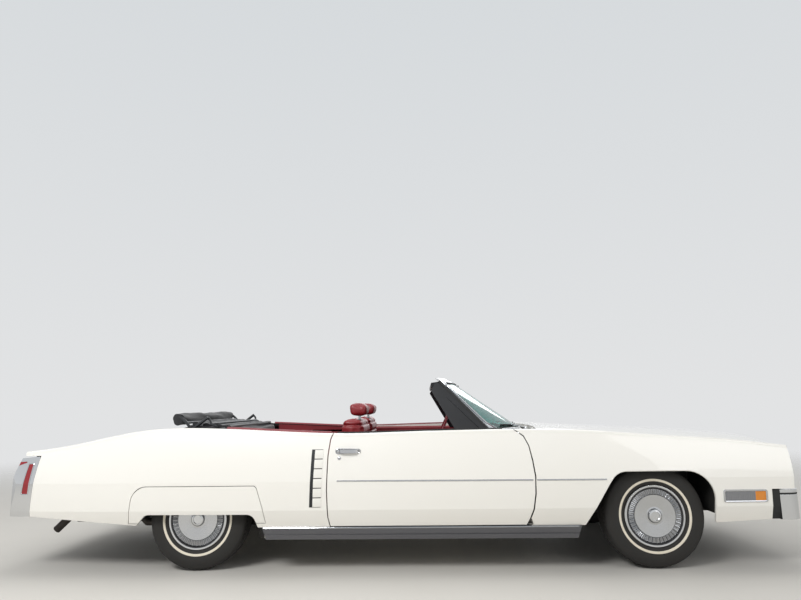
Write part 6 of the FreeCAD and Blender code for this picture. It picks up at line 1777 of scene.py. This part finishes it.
@dataclass
class Studio:
    """Floor, soft lamps, sky and the camera at the photograph's angle."""

    eye: Place = (0.2092, -5.3391, 1.1251)
    yaw: float = -2.098
    pitch: float = 9.973
    roll: float = -0.821
    lens: float = 27.06
    sensor: float = 36.0
    floor_reach: float = 60.0
    floor_fade: Flat = (4.2, 13.0)
    sky_strength: float = 0.6
    lamps: tuple = (
        ("key_box", (-3.5, -6.0, 5.5), (0, -0.6, 0.4), (3.0, 2.0), 330.0),
        ("fill_box", (5.5, -5.0, 3.5), (1.0, 0, 0.5), (4.0, 3.0), 60.0),
        ("top_box", (0.0, 0.5, 6.0), (0, 0, 0), (7.0, 3.0), 105.0),
        ("rear_box", (0.0, 7.0, 4.0), (0, 0, 0.5), (7.0, 2.5), 130.0),
    )

    def camera(self) -> None:
        """Places the camera."""
        data = bpy.data.cameras.new("camera")
        data.lens = self.lens
        data.sensor_width = self.sensor
        data.clip_end = 200.0
        yaw, pitch, roll = (math.radians(a) for a in (self.yaw, self.pitch, self.roll))
        ahead = Vector((math.sin(yaw) * math.cos(pitch), math.cos(yaw) * math.cos(pitch), math.sin(pitch)))
        right = Vector((math.cos(yaw), -math.sin(yaw), 0.0))
        up = right.cross(ahead)
        across = right * math.cos(roll) + up * math.sin(roll)
        rise = -right * math.sin(roll) + up * math.cos(roll)
        turn = Matrix((across, rise, -ahead)).transposed().to_4x4()
        turn.translation = Vector(self.eye)
        camera = bpy.data.objects.new("camera", data)
        camera.matrix_world = turn
        bpy.context.scene.collection.objects.link(camera)
        bpy.context.scene.camera = camera

    def floor(self) -> None:
        """A pale floor that fades into the sky far from the car."""
        mesh = bpy.data.meshes.new("floor_sheet")
        reach = self.floor_reach
        mesh.from_pydata([(-reach, -reach, 0), (reach, -reach, 0), (reach, reach, 0), (-reach, reach, 0)],
                         [], [(0, 1, 2, 3)])
        sheet = bpy.data.objects.new("floor_sheet", mesh)
        bpy.context.scene.collection.objects.link(sheet)
        made = bpy.data.materials.new("concrete_pale_sealed")
        made.use_nodes = True
        tree = made.node_tree
        tree.nodes.clear()
        place = put(tree, "ShaderNodeTexCoord").outputs["Object"]
        cloud = put(tree, "ShaderNodeTexNoise", inputs={"Vector": place, "Scale": 1.4, "Detail": 8.0})
        tone = mix(tree, cloud.outputs["Fac"], linear("#CFCCC6"), linear("#C9C6BF"))
        shader = put(tree, "ShaderNodeBsdfPrincipled", inputs={"Base Color": tone, "Roughness": 0.7})
        far = put(tree, "ShaderNodeVectorMath", {"operation": "LENGTH"}, {0: place}).outputs["Value"]
        near, gone = self.floor_fade
        fade = put(tree, "ShaderNodeMapRange", {"interpolation_type": "SMOOTHSTEP"}, {
            "Value": far, "From Min": near, "From Max": gone}).outputs[0]
        clear = put(tree, "ShaderNodeBsdfTransparent")
        both = put(tree, "ShaderNodeMixShader", inputs={0: fade, 1: shader.outputs[0], 2: clear.outputs[0]})
        put(tree, "ShaderNodeOutputMaterial", inputs={"Surface": both.outputs[0]})
        mesh.materials.append(made)

    def sky(self) -> None:
        """A plain sky: one that lights the car, one that the camera, reflections and glass see."""
        world = bpy.data.worlds.new("sky")
        world.use_nodes = True
        tree = world.node_tree
        tree.nodes.clear()
        height = part(tree, put(tree, "ShaderNodeTexCoord").outputs["Generated"], "Z")
        lit, plain = (ramp(tree, height, [(place, linear(code)) for place, code in stops]) for stops in (
            ((0.0, "#DADCDD"), (0.12, "#E4E7E9"), (0.45, "#EEF0F2"), (1.0, "#FFFFFF")),
            ((0.0, "#E2E3E4"), (0.62, "#D6DADD"), (0.74, "#8E979F"), (0.86, "#7F8890"), (1.0, "#E9EBEC"))))
        soft = put(tree, "ShaderNodeBackground", inputs={"Color": lit, "Strength": self.sky_strength})
        seen = put(tree, "ShaderNodeBackground", inputs={"Color": plain, "Strength": 1.0})
        rays = put(tree, "ShaderNodeLightPath").outputs
        mirror = calc(tree, "MAXIMUM", rays["Is Glossy Ray"], rays["Is Transmission Ray"])
        straight = calc(tree, "MAXIMUM", rays["Is Camera Ray"], mirror)
        light = put(tree, "ShaderNodeMixShader", inputs={0: straight, 1: soft.outputs[0], 2: seen.outputs[0]})
        put(tree, "ShaderNodeOutputWorld", inputs={"Surface": light.outputs[0]})
        bpy.context.scene.world = world

    def lamp(self, name: str, place: Place, aim: Place, size: Flat, power: float) -> None:
        """Adds a soft box.

        Args:
            name: the lamp's name.
            place: where it hangs.
            aim: the point that it faces.
            size: its width and height.
            power: its watts.
        """
        data = bpy.data.lights.new(name, "AREA")
        data.shape = "RECTANGLE"
        data.size, data.size_y = size
        data.energy = power
        lamp = bpy.data.objects.new(name, data)
        lamp.location = place
        lamp.rotation_euler = (Vector(aim) - Vector(place)).to_track_quat("-Z", "Y").to_euler()
        bpy.context.scene.collection.objects.link(lamp)

    def build(self) -> None:
        """Builds the studio."""
        self.floor()
        self.sky()
        for lamp in self.lamps:
            self.lamp(*lamp)
        self.camera()
        bpy.context.scene.view_settings.view_transform = "Standard"


def main() -> None:
    """Builds the scene."""
    logging.basicConfig(level=logging.INFO, format="%(message)s")
    for group in (Running(), Coachwork(), Windscreen(), NoseAndTail(), RoadWheels(), SoftTop(), Cabin(),
                  Studio()):
        group.build()
        log.info("%s is built", type(group).__name__)


if __name__ == "__main__":
    main()
